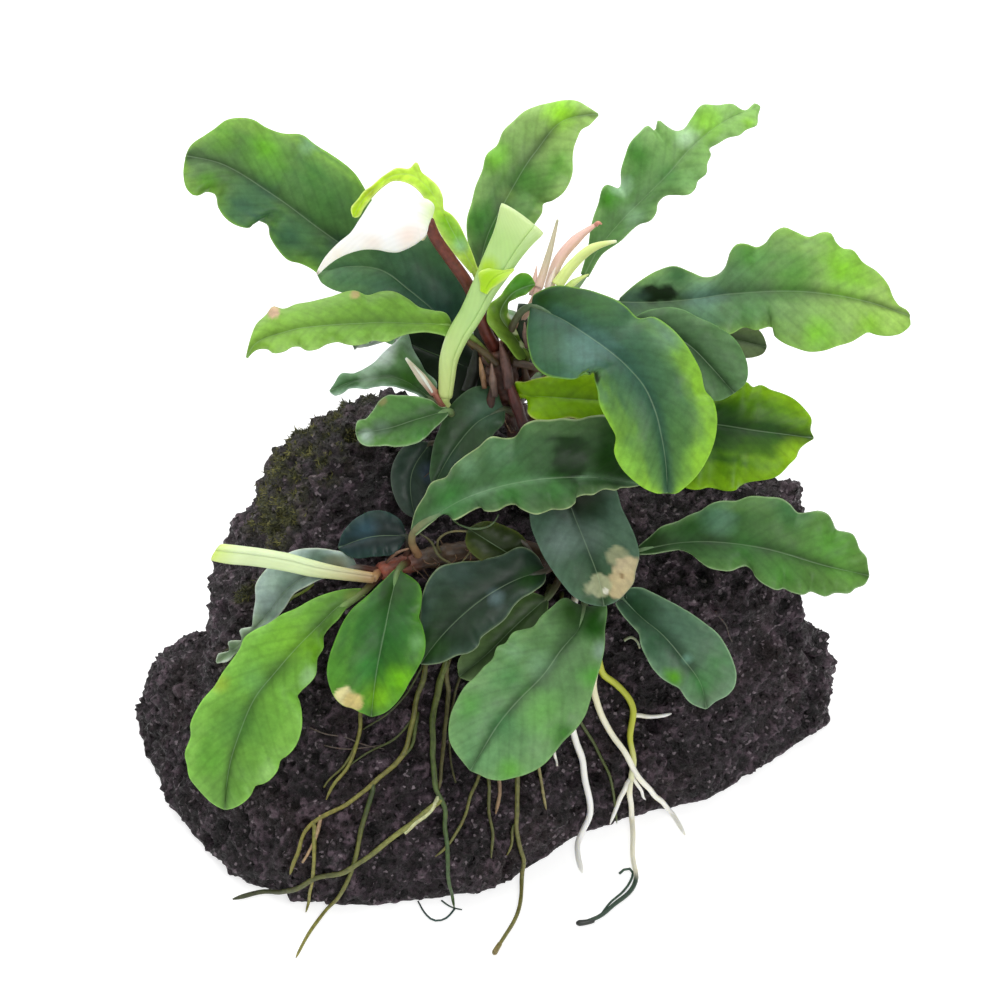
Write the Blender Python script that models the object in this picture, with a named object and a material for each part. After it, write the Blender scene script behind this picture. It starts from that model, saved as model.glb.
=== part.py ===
# A Bucephalandra growing on a lava stone: a small water plant whose creeping stems and roots
# hold on to a piece of porous lava, with leathery wavy leaves, a white flower hood and young
# rolled leaves. Metres, +Z up. The origin is on the flat underside of the stone.
#
# The plant is laid out as a viewer sees it who looks down on the stone from the front. A place
# is (across, up, toward) in millimetres: across and up on the plane through the origin that
# faces the viewer, and toward the viewer from that plane.

import math

import bpy
from mathutils import Vector, noise
from mathutils.bvhtree import BVHTree

MM = 0.001

# How the plant is looked at
VIEW_ELEVATION = math.radians(38)
EYE_DISTANCE = 790
EYE_UP = 37

# Driving sizes, in millimetres
GAP = 0.35              # clear space between two pieces that touch in life
BLADE_THICKNESS = 0.55
RIB_THICKNESS = 0.5     # added to the blade along its middle
RIB_HALF_WIDTH = 0.7
PETIOLE_RADIUS = 0.65
STEM_SIDES = 8
ROOT_SIDES = 5

ACROSS = Vector((1, 0, 0))
UP = Vector((0, math.sin(VIEW_ELEVATION), math.cos(VIEW_ELEVATION)))
TOWARD = Vector((0, -math.cos(VIEW_ELEVATION), math.sin(VIEW_ELEVATION)))


def turned(direction):
    """A direction given as (across, up, toward), in the part's own axes."""
    across, up, toward = direction
    return (ACROSS * across + UP * up + TOWARD * toward).normalized()


def seen(place):
    """The point in millimetres that is seen at (across, up) and lies toward from the plane."""
    across, up, toward = place
    nearer = 1 - toward / EYE_DISTANCE
    return (
        ACROSS * (across * nearer)
        + UP * (EYE_UP + (up - EYE_UP) * nearer)
        + TOWARD * toward
    )


# Curves

CURVE_STEPS = 8    # points in each stretch of a curve before it is divided evenly


def smooth_curve(points):
    """Points on a smooth curve through the given ones, CURVE_STEPS in each stretch."""
    points = [Vector(p) for p in points]
    last = len(points) - 1
    lengths = [max((points[i + 1] - points[i]).length, 1e-6) for i in range(last)]
    slopes = []
    for i in range(len(points)):
        if i in (0, last):
            slopes.append(None)
            continue
        before = (points[i] - points[i - 1]) / lengths[i - 1]
        after = (points[i + 1] - points[i]) / lengths[i]
        share = lengths[i] / (lengths[i - 1] + lengths[i])
        slopes.append(before * share + after * (1 - share))
    first_run = (points[1] - points[0]) / lengths[0]
    last_run = (points[last] - points[last - 1]) / lengths[last - 1]
    slopes[0] = 1.5 * first_run - 0.5 * (slopes[1] or first_run)
    slopes[last] = 1.5 * last_run - 0.5 * (slopes[last - 1] or last_run)
    found = []
    for i in range(last):
        for k in range(CURVE_STEPS):
            found.append(hermite(points, slopes, lengths, i, k / CURVE_STEPS))
    return found + [points[last]]


def hermite(points, slopes, lengths, i, t):
    """The point at t, from 0 to 1, in the stretch i of a cubic curve."""
    a = points[i] * (2 * t**3 - 3 * t**2 + 1) + points[i + 1] * (3 * t**2 - 2 * t**3)
    b = slopes[i] * (t**3 - 2 * t**2 + t) + slopes[i + 1] * (t**3 - t**2)
    return a + b * lengths[i]


def evenly(points, count):
    """The given number of points, evenly spaced along the line through the given ones."""
    lengths = [0.0]
    for a, b in zip(points, points[1:]):
        lengths.append(lengths[-1] + (b - a).length)
    found, i = [], 0
    for k in range(count):
        wanted = lengths[-1] * k / (count - 1)
        while i < len(points) - 2 and lengths[i + 1] < wanted:
            i += 1
        share = (wanted - lengths[i]) / max(lengths[i + 1] - lengths[i], 1e-9)
        found.append(points[i].lerp(points[i + 1], share))
    return found


def tangents(points):
    last = len(points) - 1
    return [
        (points[min(i + 1, last)] - points[max(i - 1, 0)]).normalized()
        for i in range(len(points))
    ]


# Solids

def material(name, colour, roughness):
    made = bpy.data.materials.get(name)
    if made:
        return made
    made = bpy.data.materials.new(name)
    made.use_nodes = True
    shader = made.node_tree.nodes["Principled BSDF"]
    shader.inputs["Base Color"].default_value = (*colour, 1)
    shader.inputs["Roughness"].default_value = roughness
    shader.inputs["Metallic"].default_value = 0
    made.diffuse_color = (*colour, 1)
    return made


def solid(name, rings, finish):
    """A closed object skinned over rings of equally many points, given in millimetres."""
    size = len(rings[0])
    corners = [tuple(p * MM) for ring in rings for p in ring]
    faces = [tuple(reversed(range(size)))]
    for r in range(len(rings) - 1):
        for k in range(size):
            a, b = r * size + k, r * size + (k + 1) % size
            faces.append((a, b, b + size, a + size))
    faces.append(tuple(range((len(rings) - 1) * size, len(rings) * size)))
    mesh = bpy.data.meshes.new(name)
    mesh.from_pydata(corners, [], faces)
    mesh.validate()
    mesh.shade_smooth()
    mesh.set_sharp_from_angle(angle=math.radians(50))
    mesh.materials.append(finish)
    made = bpy.data.objects.new(name, mesh)
    bpy.context.scene.collection.objects.link(made)
    return made


def tube(name, path, radii, sides, finish):
    """A round solid along a path, with a radius for each point."""
    rings = []
    side = Vector((0.31, 0.17, 0.93))
    for centre, along, radius in zip(path, tangents(path), radii):
        side = (side - along * side.dot(along)).normalized()
        other = along.cross(side)
        rings.append([
            centre + (side * math.cos(turn) + other * math.sin(turn)) * radius
            for turn in (2 * math.pi * k / sides for k in range(sides))
        ])
    return solid(name, rings, finish)


def tapered(first, last, count, power=1.0):
    return [first + (last - first) * (k / (count - 1)) ** power for k in range(count)]


# The stone: upright sections from its left end to its right end. Each gives its place across,
# its front and back foot, its height, and the front and back edge of its top.

STONE_SECTIONS = [
    (-51.5, 4, 10, 6, 6, 8),
    (-49.8, 0, 14, 9.5, 5, 8.5),
    (-47, -9, 17, 13, 1, 9),
    (-44, -14, 20, 15, -3, 9.5),
    (-41.5, -18.5, 23, 16, -7, 10.5),
    (-39.8, -21, 25, 26.5, -3, 12.5),
    (-36.5, -25, 27, 31.5, 1, 15),
    (-33.5, -27, 28, 34, 3, 16.5),
    (-31, -28.5, 29, 41, 5, 18),
    (-27.5, -30, 31, 46, 6, 20),
    (-22, -31, 33, 49, 7, 22.5),
    (-15, -31, 34, 49.5, 7, 23),
    (-7, -29.3, 35, 48.5, 7, 21.5),
    (0, -26, 35, 47.5, 5, 20.5),
    (5.5, -21.8, 34, 46, 4, 19.5),
    (11.5, -15.5, 34, 44.5, 3, 18.5),
    (17, -13.3, 33, 43, 3, 17.5),
    (28, -8.8, 31, 40, 4, 17),
    (34, -5, 29.5, 38.5, 6, 16.5),
    (38.5, 0, 28, 38, 8, 17),
    (42.3, 3.5, 25, 37.5, 10.5, 17.5),
    (44, 5, 22, 18, 8, 14),
    (46.5, 7, 18, 12.5, 8.5, 13.5),
    (48, 9, 15, 8, 10, 12.5),
]
STONE_WIDEST_STEP = 4.6     # a section is added between two that are further apart
STONE_SIDE_POINTS = 26      # points of a section from foot to foot over the top
STONE_BASE_POINTS = 3       # points of a section along its flat underside
STONE_LUMPS = ((14, 1.5), (9.8, 1.6), (5.5, 1.0))    # size of the lumps and how far they stand out

# Where the stone's outline steps in or out as it is seen: a place across and up, how far the step
# reaches, and how far it shifts the surface across
STONE_STEPS = [
    (44.5, 22.5, 4.5, -3.6),
    (47, 9, 3, -1.5),
    (30, -4.5, 3, 2),
    (-44.5, 18.5, 3, 2.4),
    (-33.5, 40.5, 6, -1.4),
    (-39, -15, 4, 1.2),
]


def stone_section(x):
    """The foot-to-foot line of the section at x, as (y, z) places on a smooth curve."""
    rows = STONE_SECTIONS
    i = max(k for k in range(len(rows) - 1) if rows[k][0] <= x)
    share = (x - rows[i][0]) / (rows[i + 1][0] - rows[i][0])
    eased = share * share * (3 - 2 * share) * 0.4 + share * 0.6
    front, back, height, edge_f, edge_b = (
        a + (b - a) * eased for a, b in zip(rows[i][1:], rows[i + 1][1:])
    )
    line = [
        (front, 0),
        (front - 0.8, 0.12 * height),
        (front * 0.76 + edge_f * 0.24, 0.42 * height),
        (front * 0.4 + edge_f * 0.6, 0.74 * height),
        (edge_f, 0.94 * height),
        ((edge_f + edge_b) / 2, height),
        (edge_b, 0.97 * height),
        (back * 0.55 + edge_b * 0.45, 0.72 * height),
        (back * 0.95, 0.4 * height),
        (back + 0.5, 0.14 * height),
        (back - 0.5, 0),
    ]
    return [Vector((x, y, z)) for y, z in line]


def lumpy(point, centre):
    outward = (point - centre).normalized()
    push = sum(
        size * noise.noise(point / pitch + Vector((pitch, 3.1, 7.7)))
        for pitch, size in STONE_LUMPS
    )
    return point + outward * push


def stepped(point):
    across = point.x
    for place, up, reach, shift in STONE_STEPS:
        away = math.hypot(across - place, point.dot(UP) - up)
        point.x += shift * math.exp(-((away / reach) ** 2))
    return point


def stone_rings():
    places = [row[0] for row in STONE_SECTIONS]
    between = [
        (a + b) / 2 for a, b in zip(places, places[1:]) if b - a > STONE_WIDEST_STEP
    ]
    rings = []
    for x in sorted(places + between):
        controls = stone_section(x)
        side = evenly(smooth_curve(controls), STONE_SIDE_POINTS)
        foot, far = side[0], side[-1]
        centre = Vector((x, (foot.y + far.y) / 2, controls[5].z * 0.3))
        side = [stepped(lumpy(p, centre)) for p in side]
        for p in side[1:-1]:
            p.z = max(p.z, 0.4)
        side[0].z = side[-1].z = 0
        base = [
            side[-1].lerp(side[0], (j + 1) / (STONE_BASE_POINTS + 1))
            for j in range(STONE_BASE_POINTS)
        ]
        rings.append(list(reversed(side + base)))
    return rings


def make_stone():
    lava = material("lava", (0.045, 0.033, 0.034), 0.8)
    return solid("stone", stone_rings(), lava)


def surface_of(obj):
    mesh = obj.data
    corners = [v.co / MM for v in mesh.vertices]
    return BVHTree.FromPolygons(corners, [tuple(p.vertices) for p in mesh.polygons])


NEAR, FAR = 150, -200    # a line of sight starts in front of the stone and ends behind it


def laid(stone_surface, across, up, lift):
    """The point seen at (across, up) on the stone or, beside it, on the ground, lifted off it."""
    near, far = seen((across, up, NEAR)), seen((across, up, FAR))
    way = (far - near).normalized()
    hit, normal, _, _ = stone_surface.ray_cast(near, way)
    if hit is None:
        ground = near + way * (near.z / -way.z)
        return Vector((ground.x, ground.y, lift))
    point = hit + normal * lift
    return Vector((point.x, point.y, max(point.z, lift)))


def laid_path(stone_surface, places, radius, lift, count):
    """A line that lies along the stone and the ground, clear of both by lift and its radius."""
    clear = radius + lift
    flat = smooth_curve([Vector((a, u, 0)) for a, u in places])
    path = [laid(stone_surface, p.x, p.y, clear) for p in flat]
    for _ in range(4):
        path = [
            p if i in (0, len(path) - 1) else (path[i - 1] + p * 2 + path[i + 1]) / 4
            for i, p in enumerate(path)
        ]
    path = evenly(path, count)
    for _ in range(2):
        path = [pushed_off(stone_surface, p, clear) for p in path]
    return path


def pushed_off(stone_surface, point, clear):
    nearest, normal, _, distance = stone_surface.find_nearest(point)
    if (point - nearest).dot(normal) < 0:
        distance = -distance
    if distance < clear:
        point = nearest + normal * clear
    return Vector((point.x, point.y, max(point.z, clear)))


# The stems: each is a place for its foot and for the points above it, with its radii

STEMS = {
    "stem_upper": dict(
        places=[(3, 43, 22.5), (2.5, 48.5, 26), (0.5, 54, 28.5), (-0.5, 58.5, 30)], radii=(1.7, 2.1)
    ),
    "stem_side": dict(places=[(-7, 42, 27), (-7, 46, 28.5), (-7.5, 50, 30)], radii=(1.1, 1.2)),
    "stem_lower": dict(
        along=[(-18, 26), (-14, 27.5), (-8.5, 29), (0, 29.5), (7, 28), (11.5, 24.5)], radii=(1.2, 1.7)
    ),
}
STEM_POINTS = 9
STEM_END = 0.75    # a stem's ends, as a share of its radius there


def make_stems(stone_surface):
    """Makes the stems, and returns each one's line and radii for the leaves that grow on it."""
    bark = material("stem", (0.23, 0.10, 0.05), 0.5)
    lines = {}
    for name, spec in STEMS.items():
        first, last = spec["radii"]
        if "along" in spec:
            path = laid_path(stone_surface, spec["along"], max(first, last), GAP, STEM_POINTS)
        else:
            path = evenly(smooth_curve([seen(p) for p in spec["places"]]), STEM_POINTS)
            path = [pushed_off(stone_surface, p, max(first, last) + GAP) for p in path]
        radii = tapered(first, last, STEM_POINTS)
        radii[0] *= STEM_END
        radii[-1] *= STEM_END
        tube(name, path, radii, STEM_SIDES, bark)
        lines[name] = (path, radii)
    return lines


# Leaves, hoods and sheaths are all sheets along a curved spine: base, neck, bend and tip.

SHEET_ACROSS = (-1, -0.55, 0, 0.55, 1)
SHEET_ALONG = (0, 0.08, 0.22, 0.4, 0.58, 0.76, 0.91, 1)
SMALL_ALONG = (0, 0.1, 0.32, 0.6, 0.85, 1)    # of a sheet narrower than SMALL_WIDTH
SMALL_WIDTH = 7.6
FLAT_FROM = 0.15    # the share of a blade over which its round stalk turns flat


def blade_width(v, widest, point):
    """The blade's half outline at v from neck to tip, 1 at its widest; point narrows its tip."""
    neck_power = point * widest / (1 - widest)
    top = widest**neck_power * (1 - widest) ** point
    return max(v**neck_power * (1 - v) ** point / top, 0.1)


def sheet_ring(centre, along, face, width, cup, stalk_radius, blade):
    """One ring of a sheet: blade is 0 where it is a round stalk and 1 where it is a thin blade."""
    normal = (face - along * face.dot(along)).normalized()
    side = along.cross(normal)
    width = max(width, 2 * stalk_radius * (1 - 0.4 * blade))
    cup = cup * blade
    top, bottom = [], []
    for s in SHEET_ACROSS:
        turn = s * cup / 2
        if abs(cup) > 0.02:
            bend = width / cup
            place = side * (bend * math.sin(turn)) + normal * (bend * (1 - math.cos(turn)))
        else:
            place = side * (s * width / 2)
        outward = normal * math.cos(turn) - side * math.sin(turn)
        stalk = 2 * stalk_radius * math.sqrt(1 - s * s)
        rib = RIB_THICKNESS * math.exp(-((s * width / 2 / RIB_HALF_WIDTH) ** 2))
        thin = (BLADE_THICKNESS + rib) * (1 - s**4)
        half = (stalk * (1 - blade) + thin * blade) / 2
        top.append(centre + place + outward * half)
        bottom.append(centre + place - outward * half)
    return top + bottom[-2:0:-1]


def sheet(name, points, spec, finish):
    """A blade or hood along the given points, the last three of which are neck, bend and tip."""
    lead = len(points) - 3
    spine = smooth_curve(points)
    neck = CURVE_STEPS * lead
    stalk = evenly(spine[: neck + 1], 2 * lead + 1)[:-1] if lead else []
    blade = evenly(spine[neck:], 101)    # a point for each hundredth of the blade
    stations = SMALL_ALONG if spec["width"] < SMALL_WIDTH else SHEET_ALONG
    path = stalk + [blade[round(100 * v)] for v in stations]
    shares = [0] * len(stalk) + list(stations)
    face_neck = turned(spec.get("face", (0, 0.2, 1)))
    face_tip = turned(spec.get("face_tip", spec.get("face", (0, 0.2, 1))))
    cup_neck, cup_tip = spec.get("cup", (0.5, 0.3))
    radius = spec.get("stalk", PETIOLE_RADIUS)
    widest, point = spec.get("widest", 0.58), spec.get("point", 0.45)
    rings = []
    for centre, along, v in zip(path, tangents(path), shares):
        flat = min(1.0, v / FLAT_FROM)
        width = spec["width"] * blade_width(v, widest, point) if v else 0
        face = face_neck.lerp(face_tip, v)
        cup = cup_neck + (cup_tip - cup_neck) * v
        rings.append(sheet_ring(centre, along, face, width, cup, radius, flat))
    return solid(name, rings, finish)


def grown_from(stem, at, neck):
    """Where a leaf leaves the stem line at a share of its length, on the side of its neck."""
    path, radii = stem
    place = at * (len(path) - 1)
    i = min(int(place), len(path) - 2)
    centre = path[i].lerp(path[i + 1], place - i)
    radius = radii[i] + (radii[i + 1] - radii[i]) * (place - i)
    along = (path[i + 1] - path[i]).normalized()
    out = (neck - centre).normalized()
    slant = abs(out.dot(along)) if at < 1 else 0
    if at < 1:
        out = (out - along * out.dot(along) * 0.8).normalized()
    return centre + out * (radius + GAP + PETIOLE_RADIUS * slant)


LEAF_COLOURS = {
    "leaf_old": ((0.03, 0.10, 0.045), 0.4),
    "leaf_mid": ((0.07, 0.22, 0.04), 0.4),
    "leaf_young": ((0.24, 0.45, 0.03), 0.45),
}

# Each leaf: the stem that it grows on and how far along, then its neck, bend and tip, its
# width, the way its upper face looks, and its age
LEAVES = {
    "leaf_high_left": dict(
        stem="stem_upper", at=0.8, neck=(-12.5, 66.5, 25), bend=(-29, 80.5, 23), tip=(-44.7, 86.5, 23),
        width=15, age="leaf_mid", widest=0.68,
    ),
    "leaf_dark_left": dict(
        stem="stem_upper", at=0.92, neck=(-4.5, 63, 28), bend=(-14, 68.5, 29.5), tip=(-25.5, 70, 29),
        width=11.5, age="leaf_old",
    ),
    "leaf_hood": dict(
        stem="stem_upper", at=0.98, neck=(-4.5, 67.5, 32.5), bend=(-11, 78.5, 34), tip=(-20.8, 79, 34),
        width=8, age="leaf_young", widest=0.7,
    ),
    "leaf_bright_left": dict(
        stem="stem_upper", at=0.62, neck=(-7, 61, 35), bend=(-21.5, 62, 38.5), tip=(-35.5, 59, 38.5),
        width=11, age="leaf_young", face=(0, 0.75, 0.65),
    ),
    "leaf_top": dict(
        stem="stem_upper", at=0.97, neck=(-3, 68.5, 27), bend=(3.5, 83.5, 26.5), tip=(13.5, 92.5, 28),
        width=11, age="leaf_mid",
    ),
    "leaf_top_right": dict(
        stem="stem_upper", at=0.9, neck=(12, 69, 25), bend=(21, 81, 25), tip=(36.5, 92.5, 22),
        width=10, age="leaf_mid", widest=0.5, point=0.6,
    ),
    "leaf_far_right": dict(
        stem="stem_upper", at=0.75, neck=(18, 65.5, 27), bend=(38.5, 66.5, 31), tip=(58, 62.5, 31),
        width=17, age="leaf_mid", widest=0.66,
    ),
    "leaf_front_arch": dict(
        stem="stem_upper", at=0.82, neck=(5.5, 63, 37), bend=(18, 56.5, 46), tip=(23.5, 38, 44),
        width=16, age="leaf_old", face=(-0.1, 0.3, 1),
    ),
    "leaf_behind_arch": dict(
        stem="stem_upper", at=0.6, neck=(14, 61, 34), bend=(25.5, 58.5, 36.5), tip=(34.5, 53, 36),
        width=11, age="leaf_old",
    ),
    "leaf_under_far_right": dict(
        stem="stem_upper", at=0.5, neck=(15.5, 59.5, 24), bend=(27, 60, 22), tip=(38, 59, 20),
        width=8, age="leaf_old",
    ),
    "leaf_bright_right": dict(
        stem="stem_upper", at=0.4, neck=(17, 48, 28), bend=(31.5, 45.5, 31), tip=(44, 46, 30),
        width=15, age="leaf_young",
    ),
    "leaf_bright_centre": dict(
        stem="stem_upper", at=0.45, neck=(4.5, 52.5, 31.5), bend=(9.5, 52, 34), tip=(16, 50.5, 34),
        width=7.5, age="leaf_young",
    ),
    "leaf_edge_on": dict(
        stem="stem_upper", at=0.93, neck=(0.5, 61.5, 32), bend=(1, 65, 32), tip=(4, 69.5, 32),
        width=5.5, age="leaf_mid", face=(1, 0, 0.3),
    ),
    "leaf_shaded": dict(
        stem="stem_upper", at=0.5, neck=(-3.5, 55.5, 24), bend=(-8.5, 57.5, 22), tip=(-13.5, 59.5, 21),
        width=9, age="leaf_old",
    ),
    "leaf_side_low": dict(
        stem="stem_side", at=0.72, neck=(-10, 49.5, 33), bend=(-14, 48.5, 34), tip=(-20, 47, 34),
        width=7.5, age="leaf_mid",
    ),
    "leaf_side_high": dict(
        stem="stem_side", at=0.95, neck=(-9.5, 53, 28), bend=(-15, 56.5, 28), tip=(-23, 53, 29),
        width=7.5, age="leaf_old", face=(0, 0.8, 0.6),
    ),
    "leaf_dull": dict(
        stem="stem_upper", at=0.3, neck=(-1.5, 49.5, 30), bend=(-4.7, 46, 32), tip=(-9.5, 38.5, 33),
        width=8.5, age="leaf_old",
    ),
    "leaf_hanging": dict(
        stem="stem_side", at=0.3, neck=(-10, 45, 27), bend=(-12.5, 41, 28), tip=(-11.5, 34.5, 29),
        width=7, age="leaf_old",
    ),
    "leaf_wavy": dict(
        stem="stem_lower", at=0.2, neck=(-12.5, 31.5, 35), bend=(1.5, 40, 40), tip=(19.5, 41, 37),
        width=11.5, age="leaf_mid",
    ),
    "leaf_spotted": dict(
        stem="stem_upper", at=0.1, neck=(6.5, 40, 30), bend=(12.5, 30.5, 36), tip=(14.5, 22, 38),
        width=14, age="leaf_old",
    ),
    "leaf_right": dict(
        stem="stem_lower", at=1, neck=(20.5, 30.5, 33), bend=(35.5, 32, 36), tip=(52, 27, 34),
        width=11, age="leaf_mid",
    ),
    "leaf_right_low": dict(
        stem="stem_lower", at=0.97, neck=(17.5, 23, 32), bend=(25.5, 17, 34), tip=(32.5, 8.5, 33),
        width=10.5, age="leaf_old",
    ),
    "leaf_front_low": dict(
        stem="stem_lower", at=0.9, neck=(10, 23.5, 33), bend=(4.2, 11, 39.5), tip=(-2.2, -2.8, 41),
        width=17, age="leaf_mid", widest=0.5,
    ),
    "leaf_oval": dict(
        stem="stem_lower", at=0.15, neck=(-13.5, 25.5, 34), bend=(-17.5, 17, 38), tip=(-19, 6.5, 37),
        width=13.5, age="leaf_mid",
    ),
    "leaf_long_left": dict(
        stem="stem_lower", at=0.02, neck=(-21.5, 23, 33), bend=(-34, 10, 34), tip=(-40.5, -6.5, 30),
        width=12.5, age="leaf_mid",
    ),
    "leaf_dark_centre": dict(
        stem="stem_lower", at=0.8, neck=(5.5, 26.5, 32), bend=(-2, 21, 35), tip=(-10, 14.5, 35),
        width=11.5, age="leaf_old",
    ),
    "leaf_dark_low": dict(
        stem="stem_lower", at=0.85, neck=(6.5, 23, 31), bend=(0.5, 17, 32), tip=(-6, 12, 31),
        width=7, age="leaf_old",
    ),
    "leaf_grey_left": dict(
        stem="stem_lower", at=0, neck=(-21, 28, 30.5), bend=(-29.5, 25, 30.5), tip=(-39.5, 14.5, 26),
        width=7.5, age="leaf_old", widest=0.5,
    ),
    "leaf_dark_small": dict(
        stem="stem_lower", at=0.12, neck=(-13.5, 33.5, 31), bend=(-17.5, 33, 31), tip=(-23, 30.5, 30.5),
        width=6.5, age="leaf_old",
    ),
    "leaf_olive": dict(
        stem="stem_lower", at=0.6, neck=(3, 28.5, 31), bend=(-0.5, 30.5, 33), tip=(-4.5, 33, 33),
        width=7, age="leaf_mid",
    ),
    "leaf_back_right": dict(
        stem="stem_upper", at=0.6, neck=(5.5, 55, 15), bend=(14, 58, 2), tip=(22, 53, -12),
        width=12, age="leaf_old", face=(0, 1, 0.4),
    ),
    "leaf_back_left": dict(
        stem="stem_upper", at=0.75, neck=(-4.5, 57, 15), bend=(-12, 61, 2), tip=(-19, 59, -11),
        width=12, age="leaf_old", face=(0, 1, 0.4),
    ),
    "leaf_back": dict(
        stem="stem_upper", at=0.9, neck=(1, 60, 16), bend=(2.5, 63.5, 2), tip=(4.5, 61, -15),
        width=11, age="leaf_mid", face=(0, 1, 0.4),
    ),
}


def make_leaves(stems):
    for name, spec in LEAVES.items():
        neck, bend, tip = seen(spec["neck"]), seen(spec["bend"]), seen(spec["tip"])
        base = grown_from(stems[spec["stem"]], spec["at"], neck)
        colour, roughness = LEAF_COLOURS[spec["age"]]
        sheet(name, [base, neck, bend, tip], spec, material(spec["age"], colour, roughness))


# The flowers: hoods (spathes) are sheets that curl round, each on a stalk

FLOWER_STALK = dict(
    stem="stem_upper", at=1, places=[(-3.5, 64.5, 34.5), (-7, 70.5, 36.8), (-9.3, 74.6, 38.8)],
    radii=(1.0, 1.15),
)
FLOWER_SPIKE = dict(places=[(-10.5, 75, 37.8), (-14.5, 76, 37.2), (-19, 74.5, 36.8)], radii=(1.0, 0.7))
STALK_POINTS, SPIKE_POINTS, STALK_SIDES = 8, 6, 7
SPIKE_BLUNTNESS = 2    # the spike stays thick until near its tip
HOODS = {
    "spathe_white": dict(
        places=[(-10.2, 76.2, 40.5), (-16.5, 77, 42.5), (-25.5, 70.3, 40)], width=10, cup=(-1.6, -1.5),
        widest=0.32, point=0.6, stalk=0.9, colour="petal_white",
    ),
    "spathe_green": dict(
        stem="stem_side", at=1, lead=[(-7.2, 56, 35), (-5.5, 62, 37.5)],
        places=[(-1.5, 69, 40.5), (1, 73.5, 41.5), (3.5, 78, 42)], width=9, cup=(-3.4, -2.6),
        widest=0.6, point=0.25, stalk=1.25, colour="petal_green",
    ),
    "spathe_cream": dict(
        stem="stem_lower", at=0, lead=[], places=[(-22, 27.4, 33.5), (-31, 28.6, 35), (-41, 29.8, 35)],
        width=4.5, cup=(-3.2, -2.6), widest=0.75, point=0.2, stalk=0.7, colour="petal_cream",
    ),
}
SHEATHS = {
    "sheath_thin": dict(
        stem="stem_upper", at=1, places=[(5, 66.5, 32), (6.8, 71.5, 32), (8.2, 76.5, 32)], width=2.2,
    ),
    "sheath_pink": dict(
        stem="stem_upper", at=0.93, places=[(7.5, 66.5, 30.5), (10.5, 71.5, 31), (13.8, 76, 31)],
        width=3.4,
    ),
    "sheath_green": dict(
        stem="stem_upper", at=0.88, places=[(9.5, 65.5, 32), (13, 70.5, 32.5), (16.3, 73.5, 32.5)], width=2.2,
    ),
    "sheath_side": dict(
        stem="stem_side", at=0.92, places=[(-9.8, 53.2, 32.5), (-11.4, 55, 33), (-13.4, 57.2, 33)], width=1.9,
    ),
}
PETAL_COLOURS = {
    "petal_white": ((0.85, 0.84, 0.80), 0.5),
    "petal_green": ((0.42, 0.62, 0.16), 0.5),
    "petal_cream": ((0.72, 0.72, 0.36), 0.5),
    "sheath": ((0.55, 0.33, 0.22), 0.55),
}


def base_on(stems, spec, towards):
    return grown_from(stems[spec["stem"]], spec["at"], towards)


def make_flowers(stems):
    red = material("flower_stalk", (0.22, 0.07, 0.05), 0.45)
    places = [seen(p) for p in FLOWER_STALK["places"]]
    stalk = evenly(smooth_curve([base_on(stems, FLOWER_STALK, places[0])] + places), STALK_POINTS)
    radii = tapered(*FLOWER_STALK["radii"], STALK_POINTS)
    tube("flower_stalk", stalk, radii, STALK_SIDES, red)
    spike = evenly(smooth_curve([seen(p) for p in FLOWER_SPIKE["places"]]), SPIKE_POINTS)
    cream = material("flower_spike", (0.75, 0.70, 0.42), 0.6)
    radii = tapered(*FLOWER_SPIKE["radii"], SPIKE_POINTS, SPIKE_BLUNTNESS)
    tube("flower_spike", spike, radii, STALK_SIDES, cream)
    for name, spec in HOODS.items():
        points = [seen(p) for p in spec.get("lead", []) + spec["places"]]
        if "stem" in spec:
            points.insert(0, base_on(stems, spec, points[0]))
        sheet(name, points, spec, material(spec["colour"], *PETAL_COLOURS[spec["colour"]]))
    for name, spec in SHEATHS.items():
        points = [seen(p) for p in spec["places"]]
        points.insert(0, base_on(stems, spec, points[0]))
        shape = dict(widest=0.35, point=0.8, cup=(-1.6, -1.2), stalk=0.5) | spec
        sheet(name, points, shape, material("sheath", *PETAL_COLOURS["sheath"]))


# The roots lie on the stone and run out on the ground: the places they are seen at, the first
# route being the root and the others its branches, each with its radius at its start and end

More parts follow.
